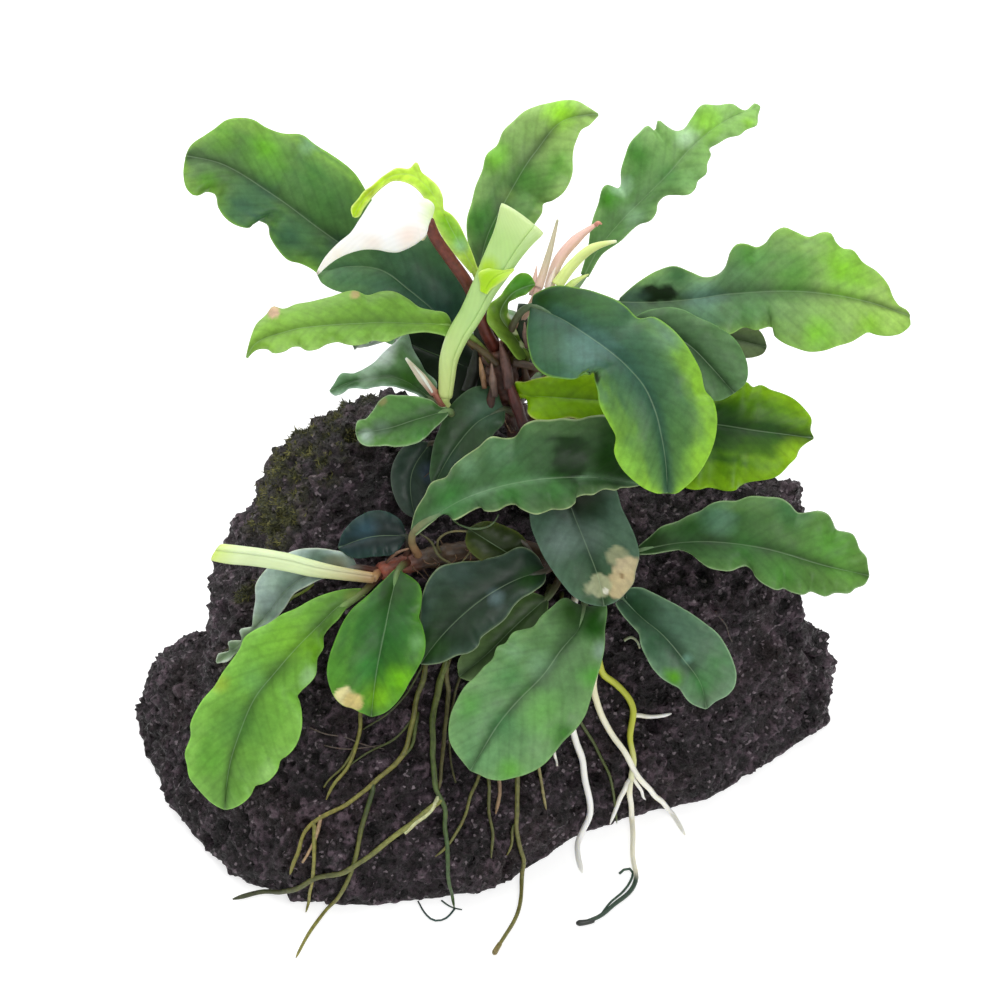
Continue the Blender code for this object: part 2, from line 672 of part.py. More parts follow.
ROOTS = {
    "root_far_left": dict(
        routes=[([(-17, 22.5), (-19, 15), (-20, 8), (-20.5, 3), (-23, -2), (-26, -7.5)], 0.45, 0.3)],
    ),
    "root_left": dict(
        routes=[
            (
                [(-8, 26), (-8.2, 19), (-8.5, 12.5), (-10.5, 5), (-13.5, -1), (-19, -5.5), (-26, -9),
                 (-28.5, -12.5), (-29, -16)],
                0.6, 0.35,
            ),
            ([(-25.5, -8.5), (-26.5, -12.5), (-27.5, -20.5)], 0.4, 0.3),
            ([(-14, -1.5), (-17.5, -6.5), (-20, -14.5), (-25.5, -24), (-29, -28.5)], 0.5, 0.35),
            ([(-8.4, 15), (-9.5, 3.5), (-9, -4), (-7.5, -14), (-7, -20.5)], 0.5, 0.35),
            ([(-9, -4.5), (-13.5, -9), (-21.5, -13.5), (-29, -17), (-38, -20)], 0.7, 0.5),
        ],
    ),
    "root_centre_left": dict(
        routes=[([(1, 26.3), (-1, 14), (-2.5, -2), (-4, -6.5), (-6.5, -11)], 0.4, 0.3)],
    ),
    "root_centre": dict(routes=[([(3, 26), (1, 14), (-1.5, -2), (-1.5, -12.5)], 0.4, 0.3)]),
    "root_short": dict(routes=[([(4.8, 25.6), (2.8, 14), (0.2, -2), (0.2, -8)], 0.35, 0.3)]),
    "root_long": dict(
        routes=[
            ([(6.8, 25), (4.8, 14), (2, -1.5), (2.2, -9), (3.5, -17), (2.5, -22), (-0.5, -27)], 0.45, 0.35)
        ],
    ),
    "root_stub": dict(routes=[([(8.6, 24), (7.2, 12), (5.5, -0.5), (5.5, -4), (6, -6.5)], 0.4, 0.3)]),
    "root_white": dict(
        young=True,
        routes=[
            ([(10, 22.8), (9.5, 14), (9.5, 5), (11.5, -2), (11, -9), (11.5, -15.5)], 0.75, 0.5),
            ([(9.6, 8), (11.2, 3.5), (13.2, -0.5), (15, -6)], 0.4, 0.3),
        ],
    ),
    "root_forked": dict(
        young=True,
        routes=[
            (
                [(13.8, 22), (14, 17), (14.5, 13), (18, 8.5), (18.5, 0), (19, -8.5), (19, -15), (17, -20),
                 (11, -23.5)],
                0.8, 0.4,
            ),
            ([(13.9, 15), (14, 8), (16, 2.5), (19, -2.5), (23, -6.5), (26.5, -11.5)], 0.75, 0.4),
            ([(18.4, 7), (20.5, 6.5), (24, 7.5)], 0.4, 0.3),
            ([(18.5, -2.5), (17.5, -5.5), (16, -8.5)], 0.45, 0.3),
        ],
    ),
}
ROOT_LIFT = 0.45    # millimetres between a root and what it lies on
ROOT_STEP = 4      # millimetres between the rings of a root
ROOT_LEAST_RINGS = 4


def make_roots(stone_surface):
    green = material("root_green", (0.16, 0.18, 0.07), 0.6)
    white = material("root_white", (0.80, 0.78, 0.66), 0.55)
    for name, spec in ROOTS.items():
        skin = white if spec.get("young") else green
        grown = []
        for k, (places, first, last) in enumerate(spec["routes"]):
            length = sum((Vector(b) - Vector(a)).length for a, b in zip(places, places[1:]))
            count = max(ROOT_LEAST_RINGS, round(length / ROOT_STEP) + 1)
            path = laid_path(stone_surface, places, first, ROOT_LIFT, count)
            if not grown:
                grown = evenly(path, 200)
                root = tube(name, path, tapered(first, last, count), ROOT_SIDES, skin)
                continue
            path[0] = min(grown, key=lambda p, start=path[0]: (p - start).length)
            grown += evenly(path, 100)
            branch = tube(f"{name}_branch_{k}", path, tapered(first, last, count), ROOT_SIDES, skin)
            branch.hide_render = True
            branch.display_type = "WIRE"
            join = root.modifiers.new("branch", "BOOLEAN")
            join.operation, join.solver, join.object = "UNION", "EXACT", branch


def main():
    for old in list(bpy.data.objects):
        bpy.data.objects.remove(old)
    stone = make_stone()
    stone_surface = surface_of(stone)
    stems = make_stems(stone_surface)
    make_leaves(stems)
    make_flowers(stems)
    make_roots(stone_surface)


main()
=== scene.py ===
import math

import bmesh
import bpy
import numpy as np
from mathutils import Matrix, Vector, noise
from mathutils.bvhtree import BVHTree


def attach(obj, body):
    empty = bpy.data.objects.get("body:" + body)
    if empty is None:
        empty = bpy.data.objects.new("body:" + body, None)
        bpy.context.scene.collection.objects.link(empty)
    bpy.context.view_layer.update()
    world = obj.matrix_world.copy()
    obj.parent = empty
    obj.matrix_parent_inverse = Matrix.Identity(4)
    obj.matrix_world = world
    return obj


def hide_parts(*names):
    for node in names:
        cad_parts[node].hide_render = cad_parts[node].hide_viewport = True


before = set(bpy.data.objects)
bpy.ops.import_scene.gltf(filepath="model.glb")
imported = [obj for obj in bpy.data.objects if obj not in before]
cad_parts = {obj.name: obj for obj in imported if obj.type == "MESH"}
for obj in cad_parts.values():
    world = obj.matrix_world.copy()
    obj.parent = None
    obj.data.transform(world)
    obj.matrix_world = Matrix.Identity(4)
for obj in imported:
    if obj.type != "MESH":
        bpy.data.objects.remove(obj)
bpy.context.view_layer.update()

print("frame loaded:", len(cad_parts), "nodes")

# A Bucephalandra on a lava stone. Places are (across, up, toward) in millimetres, as someone
# sees them who looks down on the stone from the front: across and up on the plane through the
# origin that faces that person, and toward that person from the plane.

mm = 0.001
look = dict(elevation=math.radians(38), distance=790, middle=37.1, lens=200, sensor=36)
upWay = np.array([0, math.sin(look["elevation"]), math.cos(look["elevation"])])
towardWay = np.array([0, -math.cos(look["elevation"]), math.sin(look["elevation"])])
acrossWay = np.array([1.0, 0, 0])


def seen(places):
    # world points in millimetres for places given as rows of (across, up, toward)
    places = np.atleast_2d(np.array(places, float))
    nearer = 1 - places[:, 2:] / look["distance"]
    up = look["middle"] + (places[:, 1:2] - look["middle"]) * nearer
    return places[:, :1] * nearer * acrossWay + up * upWay + places[:, 2:] * towardWay


def linear(hexColour):
    # sRGB hex to the linear values that Blender's sockets take
    parts = [int(hexColour[i:i + 2], 16) / 255 for i in (1, 3, 5)]
    return np.array([c / 12.92 if c <= 0.04045 else ((c + 0.055) / 1.055) ** 2.4 for c in parts])


# Curves

def smoothLine(points, count):
    # even points on a smooth curve through the given ones
    p = np.array(points, float)
    lengths = np.maximum(np.linalg.norm(np.diff(p, axis=0), axis=1), 1e-6)
    runs = np.diff(p, axis=0) / lengths[:, None]
    slopes = np.empty_like(p)
    if len(p) > 2:
        share = (lengths[1:] / (lengths[:-1] + lengths[1:]))[:, None]
        slopes[1:-1] = runs[:-1] * share + runs[1:] * (1 - share)
        slopes[0] = 1.5 * runs[0] - 0.5 * slopes[1]
        slopes[-1] = 1.5 * runs[-1] - 0.5 * slopes[-2]
    else:
        slopes[:] = runs[0]
    t = np.linspace(0, 1, 17)[:-1, None]
    dense = [
        p[i] * (2 * t**3 - 3 * t**2 + 1) + p[i + 1] * (3 * t**2 - 2 * t**3)
        + (slopes[i] * (t**3 - 2 * t**2 + t) + slopes[i + 1] * (t**3 - t**2)) * lengths[i]
        for i in range(len(runs))
    ]
    return evenPoints(np.concatenate(dense + [p[-1:]]), count)


def runOf(line):
    # how far along the line each of its points lies
    return np.concatenate([[0], np.cumsum(np.linalg.norm(np.diff(line, axis=0), axis=1))])


def evenPoints(line, count):
    along = runOf(line)
    wanted = np.linspace(0, along[-1], count)
    return np.stack([np.interp(wanted, along, line[:, k]) for k in range(line.shape[1])], 1)


def evened(values, count):
    # each value becomes the mean of the count values around it
    return np.convolve(np.pad(values, count // 2, mode="edge"), np.ones(count) / count, mode="valid")


def unit(v):
    return v / np.maximum(np.linalg.norm(v, axis=-1, keepdims=True), 1e-9)


def wave(seed, at, pitch=1.0):
    # smooth noise along a line, between -1 and 1, the same each run
    return np.array([noise.noise((x / pitch, seed * 3.7, 1.3)) for x in np.atleast_1d(at)])


# Meshes: a part is (points in millimetres, faces, colour of each point, pattern place of each)

def tubePart(path, radii, sides, tones):
    path, radii = np.array(path, float), np.array(radii, float)
    ways = unit(np.gradient(path, axis=0))
    side = np.array([0.31, 0.17, 0.93])  # any way that no path here follows
    rings = []
    for centre, way, radius in zip(path, ways, radii):
        side = unit(side - way * (side @ way))
        other = np.cross(way, side)
        turn = np.linspace(0, 2 * np.pi, sides, endpoint=False)[:, None]
        rings.append(centre + (side * np.cos(turn) + other * np.sin(turn)) * radius)
    n = len(path)
    k = np.arange(sides)
    faces = [tuple(reversed(range(sides)))]
    for r in range(n - 1):
        a, b = r * sides + k, r * sides + (k + 1) % sides
        faces += list(zip(a, b, b + sides, a + sides))
    faces.append(tuple(range((n - 1) * sides, n * sides)))
    length = runOf(path)
    spread = np.repeat(np.array(tones), sides, axis=0)
    place = np.stack([np.tile(1 + np.linspace(0, 1, sides) * 4, n), np.repeat(length, sides)], 1)
    return np.concatenate(rings), faces, spread, place


def piece(name, parts, material):
    # one object from several parts, with the colours and pattern places as attributes
    points, partFaces, tones, places = zip(*parts)
    starts = np.cumsum([0] + [len(p) for p in points])
    faces = [tuple(int(c) + start for c in face)
             for own, start in zip(partFaces, starts.tolist()) for face in own]
    mesh = bpy.data.meshes.new(name)
    mesh.from_pydata((np.concatenate(points) * mm).tolist(), [], faces)
    colours = np.concatenate(tones)
    colours = np.concatenate([colours, np.ones((len(colours), 1))], 1)
    tone = mesh.attributes.new("tone", "FLOAT_COLOR", "POINT")
    tone.data.foreach_set("color", colours.ravel().astype(np.float32))
    loops = np.empty(len(mesh.loops), np.int32)
    mesh.loops.foreach_get("vertex_index", loops)
    layer = mesh.uv_layers.new(name="blade")
    layer.data.foreach_set("uv", (np.concatenate(places)[loops] * 0.1).ravel().astype(np.float32))
    mesh.materials.append(material)
    mesh.shade_smooth()
    return placed(name, mesh)


def placed(name, mesh):
    made = bpy.data.objects.new(name, mesh)
    bpy.context.scene.collection.objects.link(made)
    return made


def closeUp(made):
    # turns all faces of the piece outward
    shape = bmesh.new()
    shape.from_mesh(made.data)
    bmesh.ops.recalc_face_normals(shape, faces=shape.faces)
    shape.to_mesh(made.data)
    shape.free()
    made.data.shade_smooth()


def joinedWords(nodeName):
    # leaf_high_left becomes leafHighLeft
    first, *others = nodeName.split("_")
    return first + "".join(word.title() for word in others)


def handOver(made, nodeName):
    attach(made, "root")
    if nodeName:
        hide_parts(nodeName)


# Node trees

def add(tree, kind, links=None, stops=(), **settings):
    # one node with its settings, what its inputs get, and the (place, colour) stops of a ramp
    made = tree.nodes.new(kind)
    for key, value in settings.items():
        setattr(made, key, value)
    feed(tree, made, links or {})
    for number, (place, colour) in enumerate(stops):
        elements = made.color_ramp.elements
        element = elements[number] if number < len(elements) else elements.new(place)
        element.position = place
        element.color = (*(linear(colour) if isinstance(colour, str) else [colour] * 3), 1)
    return made


def feed(tree, node, links):
    # each named or numbered input gets a socket, a plain value, a hex colour, or a pair of a
    # socket and the stops of a ramp that it runs through
    for key, value in links.items():
        if isinstance(value, tuple) and isinstance(value[0], bpy.types.NodeSocket):
            value = add(tree, "ShaderNodeValToRGB", {"Fac": value[0]}, value[1]).outputs["Color"]
        if isinstance(value, bpy.types.NodeSocket):
            tree.links.new(value, node.inputs[key])
        elif isinstance(value, str) and value.startswith("#"):
            node.inputs[key].default_value = (*linear(value), 1)
        else:
            node.inputs[key].default_value = value


def layered(tree, colour, layers):
    # lays colours over one another: each layer says how, how much and which colour
    for how, amount, over in layers:
        colour = add(tree, "ShaderNodeMix", {"Factor": amount, 6: colour, 7: over},
                     data_type="RGBA", blend_type=how).outputs[2]
    return colour


def relief(tree, layers):
    # bumps over one another, each with its height, its strength and its size in millimetres
    below = {}
    for height, strength, size in layers:
        links = {"Height": height, "Strength": strength, "Distance": size * mm, **below}
        bump = add(tree, "ShaderNodeBump", links)
        below = {"Normal": bump.outputs["Normal"]}
    return below["Normal"]


def worked(tree, value, *steps):
    # a number taken through steps of arithmetic, each a word and its other numbers
    for how, *others in steps:
        value = add(tree, "ShaderNodeMath", dict(enumerate([value, *others])), operation=how).outputs[0]
    return value


def newMaterial(name):
    made = bpy.data.materials.new(name)
    made.use_nodes = True
    tree = made.node_tree
    return made, tree, tree.nodes["Principled BSDF"]


def plantMaterial(name):
    # a new material with the tone, the place in space and the place on the blade of each point
    made, tree, skin = newMaterial(name)
    tone = add(tree, "ShaderNodeAttribute", attribute_name="tone").outputs["Color"]
    spot = add(tree, "ShaderNodeTexCoord").outputs["Object"]
    blade = add(tree, "ShaderNodeUVMap", uv_map="blade").outputs["UV"]
    return made, tree, skin, tone, spot, blade


# Living leaf: a leathery water-plant blade. The eye sees fine darker and lighter flecks of a
# millimetre, side veins that leave the midrib at a slant, and a soft waxy gloss.

leafFinish = dict(
    fleckSize=0.9, mottleSize=2.6, fleck=0.12, mottle=0.08, veinGap=2.4, veinBump=0.05, line=0.1,
    netSize=0.6, net=0.05, netBump=0.12, roughness=0.4, rough=0.12, waxRoughness=0.25, wax=0.02,
    through=0.08, reach=0.8, shine=0.2, ribWide=0.14, ribPale="#9dbb90", rib=0.22,
)


def makeLeafMaterial():
    f = leafFinish
    made, tree, skin, tone, spot, blade = plantMaterial("livingLeaf")
    fleck, mottle = (
        add(tree, "ShaderNodeTexNoise",
            {"Vector": spot, "Scale": 1 / (f[size] * mm), "Detail": detail}).outputs["Fac"]
        for size, detail in (("fleckSize", 3.0), ("mottleSize", 2.0))
    )
    veins = add(tree, "ShaderNodeTexWave",
                {"Vector": blade, "Scale": math.pi / f["veinGap"], "Distortion": 1.2, "Detail": 2.0,
                 "Detail Scale": 2.0}, wave_type="BANDS", bands_direction="Y").outputs["Fac"]
    net = add(tree, "ShaderNodeTexVoronoi", {"Vector": spot, "Scale": 1 / (f["netSize"] * mm)},
              feature="DISTANCE_TO_EDGE").outputs["Distance"]
    across = add(tree, "ShaderNodeSeparateXYZ", {0: blade}).outputs["X"]
    # each pattern, the range of it that is taken and the range that it becomes
    ranges = (
        (fleck, 0.3, 0.7, 1 - f["fleck"], 1 + f["fleck"]),
        (mottle, 0.35, 0.65, 1 - f["mottle"], 1 + f["mottle"]),
        (veins, 0.0, 0.3, 1 - f["line"], 1.0),
        (net, 0.0, 0.12, 1 - f["net"], 1.0),
        (worked(tree, across, ("ABSOLUTE",)), f["ribWide"] * 0.03, f["ribWide"] * 0.1, f["rib"], 0.0),
        (mottle, 0.3, 0.7, f["roughness"] - f["rough"] / 2, f["roughness"] + f["rough"]),
    )
    *shades, rib, gloss = (
        add(tree, "ShaderNodeMapRange", dict(enumerate(values))).outputs["Result"] for values in ranges
    )
    colour = layered(tree, tone, [("MULTIPLY", 1.0, shade) for shade in shades])
    feed(tree, skin, {
        "Base Color": layered(tree, colour, [("MIX", rib, f["ribPale"])]),
        "Roughness": gloss, "Specular IOR Level": f["shine"],
        "Coat Weight": f["wax"], "Coat Roughness": f["waxRoughness"],
        "Subsurface Weight": f["through"], "Subsurface Radius": (0.5, 1.0, 0.25),
        "Subsurface Scale": f["reach"] * mm,
        "Normal": relief(tree, [(net, f["netBump"], 0.1), (veins, f["veinBump"], 0.25)]),
    })
    return made


leafSkin = makeLeafMaterial()


# Petal: the hoods of the flowers. Thin wax-like tissue that lets light in, with faint lengthwise
# lines. Real ones are a third of a millimetre apart, and these are drawn wider, so that they show.

petalFinish = dict(lineGap=0.6, lines=0.03, cloudSize=2.5, roughness=0.42, through=0.35, reach=1.2)


def makePetalMaterial():
    f = petalFinish
    made, tree, skin, tone, spot, blade = plantMaterial("waxyPetal")
    lines = add(tree, "ShaderNodeTexWave",
                {"Vector": blade, "Scale": math.pi / f["lineGap"], "Distortion": 1.2,
                 "Detail": 2.0}, wave_type="BANDS", bands_direction="X").outputs["Fac"]
    cloud = add(tree, "ShaderNodeTexNoise",
                {"Vector": spot, "Scale": 1 / (f["cloudSize"] * mm)}).outputs["Fac"]
    feed(tree, skin, {
        "Base Color": layered(tree, tone, [
            ("MULTIPLY", 1.0, (lines, [(0, 1 - f["lines"]), (1, 1.0)])),
            ("MULTIPLY", 1.0, (cloud, [(0.3, 0.95), (0.7, 1.03)])),
        ]),
        "Roughness": f["roughness"], "Subsurface Weight": f["through"],
        "Subsurface Radius": (1.0, 0.9, 0.6), "Subsurface Scale": f["reach"] * mm,
        "Normal": relief(tree, [(lines, 0.06, 0.1)]),
    })
    return made


petalSkin = makePetalMaterial()


# Bark and root skin: a corky, slightly wet surface with lengthwise fibres and dark flecks

barkFinish = dict(fibre=0.35, fibreLong=6, fleckSize=0.6, roughness=0.5, through=0.1, reach=0.6)


def makeBarkMaterial():
    f = barkFinish
    made, tree, skin, tone, spot, blade = plantMaterial("corkyRoot")
    stretched = add(tree, "ShaderNodeMapping",
                    {"Vector": blade, "Scale": (10 / f["fibre"], f["fibreLong"], 1)})
    fibres = add(tree, "ShaderNodeTexNoise", {"Vector": stretched.outputs[0], "Scale": 1.0,
                                              "Detail": 2.0}).outputs["Fac"]
    fleck = add(tree, "ShaderNodeTexNoise",
                {"Vector": spot, "Scale": 1 / (f["fleckSize"] * mm), "Detail": 3.0}).outputs["Fac"]
    feed(tree, skin, {
        "Base Color": layered(tree, tone, [
            ("MULTIPLY", 1.0, (fibres, [(0.3, 0.72), (0.7, 1.12)])),
            ("MULTIPLY", 1.0, (fleck, [(0.35, 0.7), (0.6, 1.1)])),
        ]),
        "Roughness": f["roughness"], "Subsurface Weight": f["through"], "Subsurface Scale": f["reach"] * mm,
        "Normal": relief(tree, [(fibres, 0.4, 0.12), (fleck, 0.4, 0.15)]),
    })
    return made


barkSkin = makeBarkMaterial()
print("plant materials made")


# The stone: clinker lava. Nearly black with a purple cast, with knobs of five millimetres grown
# together from crumbs of three and of 1.3 millimetres, with cracks and vents between them, gritty
# and a little wet. Each name with Size is how far apart a form lies, and the one without is how high.

stoneLook = dict(
    voxel=0.48, easing=10, rise=1.5, warp=1.1, seed=4.0,
    relief=dict(knobSize=5.5, knob=5.0, lumpSize=3.0, lump=0.6, grainSize=1.35, grain=0.8,
                gritSize=1.3, grit=2.8, ventSize=5.0, vent=1.6, sunkBy=0.1),
    # dark is the darkest grain colour and also the painted shade of the hollows and pits; pit is how strong
    # that shade is in the pits
    base="#281e25", dark="#070405", brown="#1e1719", light="#5d4c56", glint="#a3959c", rust="#3b2a2a",
    moss=("#15160a", "#33361a", "#5d6030"), pitSize=1.0, pit=0.8, cloudSize=8, roughSize=0.7, chipSize=0.42,
)


def newTree(name, values):
    # a geometry tree with a geometry in and out and one input for each of the values
    tree = bpy.data.node_groups.new(name, "GeometryNodeTree")
    for way in ("INPUT", "OUTPUT"):
        tree.interface.new_socket(name="Geometry", in_out=way, socket_type="NodeSocketGeometry")
    for key, value in values.items():
        kind = "NodeSocketInt" if isinstance(value, int) else "NodeSocketFloat"
        tree.interface.new_socket(name=key, in_out="INPUT", socket_type=kind)
    return tree, add(tree, "NodeGroupInput").outputs


def closeTree(tree, geometry, material):
    real = add(tree, "GeometryNodeRealizeInstances", {"Geometry": geometry})
    done = add(tree, "GeometryNodeSetMaterial", {"Geometry": real.outputs[0], "Material": material})
    add(tree, "NodeGroupOutput", {0: done.outputs[0]})
    return tree


def runNodes(source, tree, values, name):
    # evaluates a geometry tree on an object and returns the plain mesh that it makes
    modifier = source.modifiers.new("shape", "NODES")
    modifier.node_group = tree
    for item in tree.interface.items_tree:
        if item.item_type == "SOCKET" and item.in_out == "INPUT" and item.name in values:
            modifier[item.identifier] = values[item.name]
    graph = bpy.context.evaluated_depsgraph_get()
    mesh = bpy.data.meshes.new_from_object(source.evaluated_get(graph))
    mesh.name = name
    source.modifiers.remove(modifier)
    return mesh


def stoneTree(material, values):
    tree, given = newTree("lavaCrust", values)
    place = add(tree, "GeometryNodeInputPosition").outputs[0]
    way = add(tree, "GeometryNodeInputNormal").outputs[0]

    def cloudAt(size, detail, rough=0.55, kind="Fac"):
        # soft noise of one size, that differs with the seed
        return add(tree, "ShaderNodeTexNoise",
                   {"Vector": place, "W": given["seed"], "Scale": worked(tree, 1.0, ("DIVIDE", size)),
                    "Detail": detail, "Roughness": rough}, noise_dimensions="4D").outputs[kind]

    def crumbsAt(size):
        # rounded crumbs of uneven height, nothing in the cracks between them
        cloud = add(tree, "ShaderNodeVectorMath", {0: cloudAt(size, 1.0, kind="Color"), 1: (0.5, 0.5, 0.5)},
                    operation="SUBTRACT").outputs[0]
        far = worked(tree, size, ("MULTIPLY", given["warp"]))
        shift = add(tree, "ShaderNodeVectorMath", {0: cloud, 3: far}, operation="SCALE").outputs[0]
        near = add(tree, "ShaderNodeVectorMath", {0: place, 1: shift}, operation="ADD").outputs[0]
        cells = add(tree, "ShaderNodeTexVoronoi",
                    {"Vector": near, "Scale": worked(tree, 1.0, ("DIVIDE", size))}).outputs
        chance = add(tree, "ShaderNodeSeparateXYZ", {0: cells["Color"]}).outputs[0]
        uneven = worked(tree, chance, ("MULTIPLY_ADD", 0.9, 0.55))
        return worked(tree, cells["Distance"], ("MULTIPLY", cells["Distance"]), ("MULTIPLY", -1.6),
                      ("ADD", 1.0), ("MAXIMUM", 0.0), ("MULTIPLY", uneven))

    lumps, grains = crumbsAt(given["lumpSize"]), crumbsAt(given["grainSize"])
    knobs = worked(tree, cloudAt(given["knobSize"], 3.0, 0.6), ("SUBTRACT", 0.5))
    grit = worked(tree, cloudAt(given["gritSize"], 3.0, 0.65), ("SUBTRACT", 0.5))
    closer = worked(tree, 1.0, ("DIVIDE", given["ventSize"]))
    holes = add(tree, "ShaderNodeTexVoronoi", {"Vector": place, "Scale": closer}).outputs["Distance"]
    opened = add(tree, "ShaderNodeMapRange", {"Value": holes, "From Min": 0.36, "From Max": 0.14},
                 interpolation_type="SMOOTHSTEP").outputs["Result"]
    areas = cloudAt(worked(tree, given["ventSize"], ("MULTIPLY", 2.2)), 1.0)
    some = add(tree, "ShaderNodeMapRange",
               {"Value": areas, "From Min": 0.46, "From Max": 0.56}).outputs["Result"]
    vents = worked(tree, opened, ("MULTIPLY", some))
    height = add(tree, "ShaderNodeSeparateXYZ", {0: place}).outputs["Z"]
    rise = add(tree, "ShaderNodeMapRange", {"Value": height, "From Min": 0.0,
                                            "From Max": stoneLook["rise"] * mm}).outputs[0]
    total = worked(tree, knobs, ("MULTIPLY", given["knob"]))
    for form, key in ((lumps, "lump"), (grains, "grain")):
        total = worked(tree, total, ("ADD", worked(tree, form, ("SUBTRACT", 0.5), ("MULTIPLY", given[key]))))
    total = worked(tree, total, ("ADD", worked(tree, grit, ("MULTIPLY", given["grit"]))),
                   ("SUBTRACT", worked(tree, vents, ("MULTIPLY", given["vent"]))),
                   ("SUBTRACT", given["sunkBy"]), ("MULTIPLY", rise))
    shift = add(tree, "ShaderNodeVectorMath", {0: way, 3: total}, operation="SCALE").outputs[0]
    moved = add(tree, "GeometryNodeSetPosition", {"Geometry": given["Geometry"], "Offset": shift})
    raised = worked(tree, lumps, ("MULTIPLY", 0.35), ("ADD", worked(tree, grains, ("MULTIPLY", 0.4))))
    raised = worked(tree, grit, ("MULTIPLY_ADD", 1.8, raised),
                    ("SUBTRACT", worked(tree, vents, ("MULTIPLY", 0.6))))
    store = add(tree, "GeometryNodeStoreNamedAttribute", {"Geometry": moved.outputs[0], "Name": "raised"},
                data_type="FLOAT", domain="POINT")
    value = next(socket for socket in store.inputs if socket.name == "Value" and socket.enabled)
    tree.links.new(raised, value)
    return closeTree(tree, store.outputs[0], material)


def makeStoneMaterial():
    s = stoneLook
    made, tree, skin = newMaterial("clinkerLava")
    spot = add(tree, "ShaderNodeTexCoord").outputs["Object"]
    raised, mossy = (
        add(tree, "ShaderNodeAttribute", attribute_name=name).outputs["Fac"] for name in ("raised", "mossy")
    )
    cloud = add(tree, "ShaderNodeTexNoise",
                {"Vector": spot, "Scale": 1 / (s["cloudSize"] * mm), "Detail": 4.0}).outputs["Fac"]
    grain = add(tree, "ShaderNodeTexNoise", {"Vector": spot, "Scale": 1 / (s["roughSize"] * mm),
                                             "Detail": 4.0, "Roughness": 0.75}).outputs["Fac"]
    chips, pits = (
        add(tree, "ShaderNodeTexVoronoi", {"Vector": spot, "Scale": 1 / (s[size] * mm)}).outputs
        for size in ("chipSize", "pitSize")
    )
    chip = add(tree, "ShaderNodeSeparateColor", {0: chips["Color"]}).outputs[0]
    # darker where the crust lies low: painted shade in its hollows and vents; paler on the raised crumbs
    heights = [(0.08, s["dark"]), (0.28, s["brown"]), (0.46, s["base"]), (0.8, s["light"])]
    colour = layered(tree, add(tree, "ShaderNodeValToRGB", {"Fac": raised}, heights).outputs["Color"], [
        ("MIX", (cloud, [(0.5, 0.0), (0.7, 0.3)]), s["rust"]),
        ("MIX", (grain, [(0.34, 0.8), (0.48, 0.0)]), s["dark"]),
        ("MIX", (grain, [(0.56, 0.0), (0.74, 0.7)]), s["light"]),
        # the pits are painted dark: painted shade in them
        ("MIX", (pits["Distance"], [(0.16, s["pit"]), (0.34, 0.0)]), s["dark"]),
        ("MIX", (chip, [(0.955, 0.0), (0.985, 0.5)]), s["glint"]),
        ("MIX", mossy, (grain, list(zip((0.35, 0.5, 0.7), s["moss"])))),
    ])
    hollow = (pits["Distance"], [(0.1, 0.0), (0.4, 1.0)])
    feed(tree, skin, {
        "Base Color": colour, "Roughness": (chip, [(0.2, 0.36), (0.6, 0.7)]), "Specular IOR Level": 0.4,
        "Normal": relief(tree, [(grain, 1.0, 0.5), (hollow, 0.9, 0.4), (chips["Distance"], 0.8, 0.25)]),
    })
    return made


# Moss: short felt of pointed leaflets on the ledges of the upper left

mossLook = dict(
    places=[(-27, 47, 7.5), (-31, 42.5, 6.5), (-33.5, 38, 6), (-22, 50.5, 5), (-32, 33, 4.5), (-29, 44, 5),
            (-36, 24, 2.5), (-38, 14.5, 2.5), (-25, 43, 4), (-20, 46, 3), (-30, 36, 4)],
    sizes=dict(gap=0.3, bladeLength=0.75, bladeRadius=0.11), lean=0.9, seed=7, most=2.2e7,
    tones=("#22220f", "#4b4b22", "#7b7840"), cloudSize=1.6, speckleSize=2.2,
)


def surfaceOf(mesh):
    points = [v.co / mm for v in mesh.vertices]
    return BVHTree.FromPolygons(points, [tuple(p.vertices) for p in mesh.polygons])


def laid(surface, across, up, lift):
    # the point seen at (across, up) on the stone or, beside it, on the ground
    near, far = (Vector(p) for p in seen([(across, up, 150), (across, up, -200)]))
    way = (far - near).normalized()
    hit, normal, _, _ = surface.ray_cast(near, way)
    if hit is None:
        ground = near + way * (near.z / -way.z)
        return Vector((ground.x, ground.y, lift))
    return hit + normal * lift


def pushedOff(surface, point, clear):
    nearest, normal, _, distance = surface.find_nearest(point)
    if (point - nearest).dot(normal) < 0:
        distance = -distance
    if distance < clear:
        point = nearest + normal * clear
    return Vector((point.x, point.y, max(point.z, clear)))


def laidPath(surface, places, clear, count):
    flat = smoothLine(places, max(12, 8 * len(places)))
    path = np.array([laid(cadStone, a, u, clear) for a, u in flat])
    for _ in range(8):
        path[1:-1] = (path[:-2] + path[1:-1] * 2 + path[2:]) / 4
    path = evenPoints(path, count)
    for _ in range(4):
        shift = np.array([pushedOff(surface, Vector(p), clear) for p in path]) - path
        for _ in range(5):
            shift[1:-1] = (shift[:-2] + shift[1:-1] * 2 + shift[2:]) / 4
        path = path + shift
    return path


cadStone = surfaceOf(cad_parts["stone"].data)


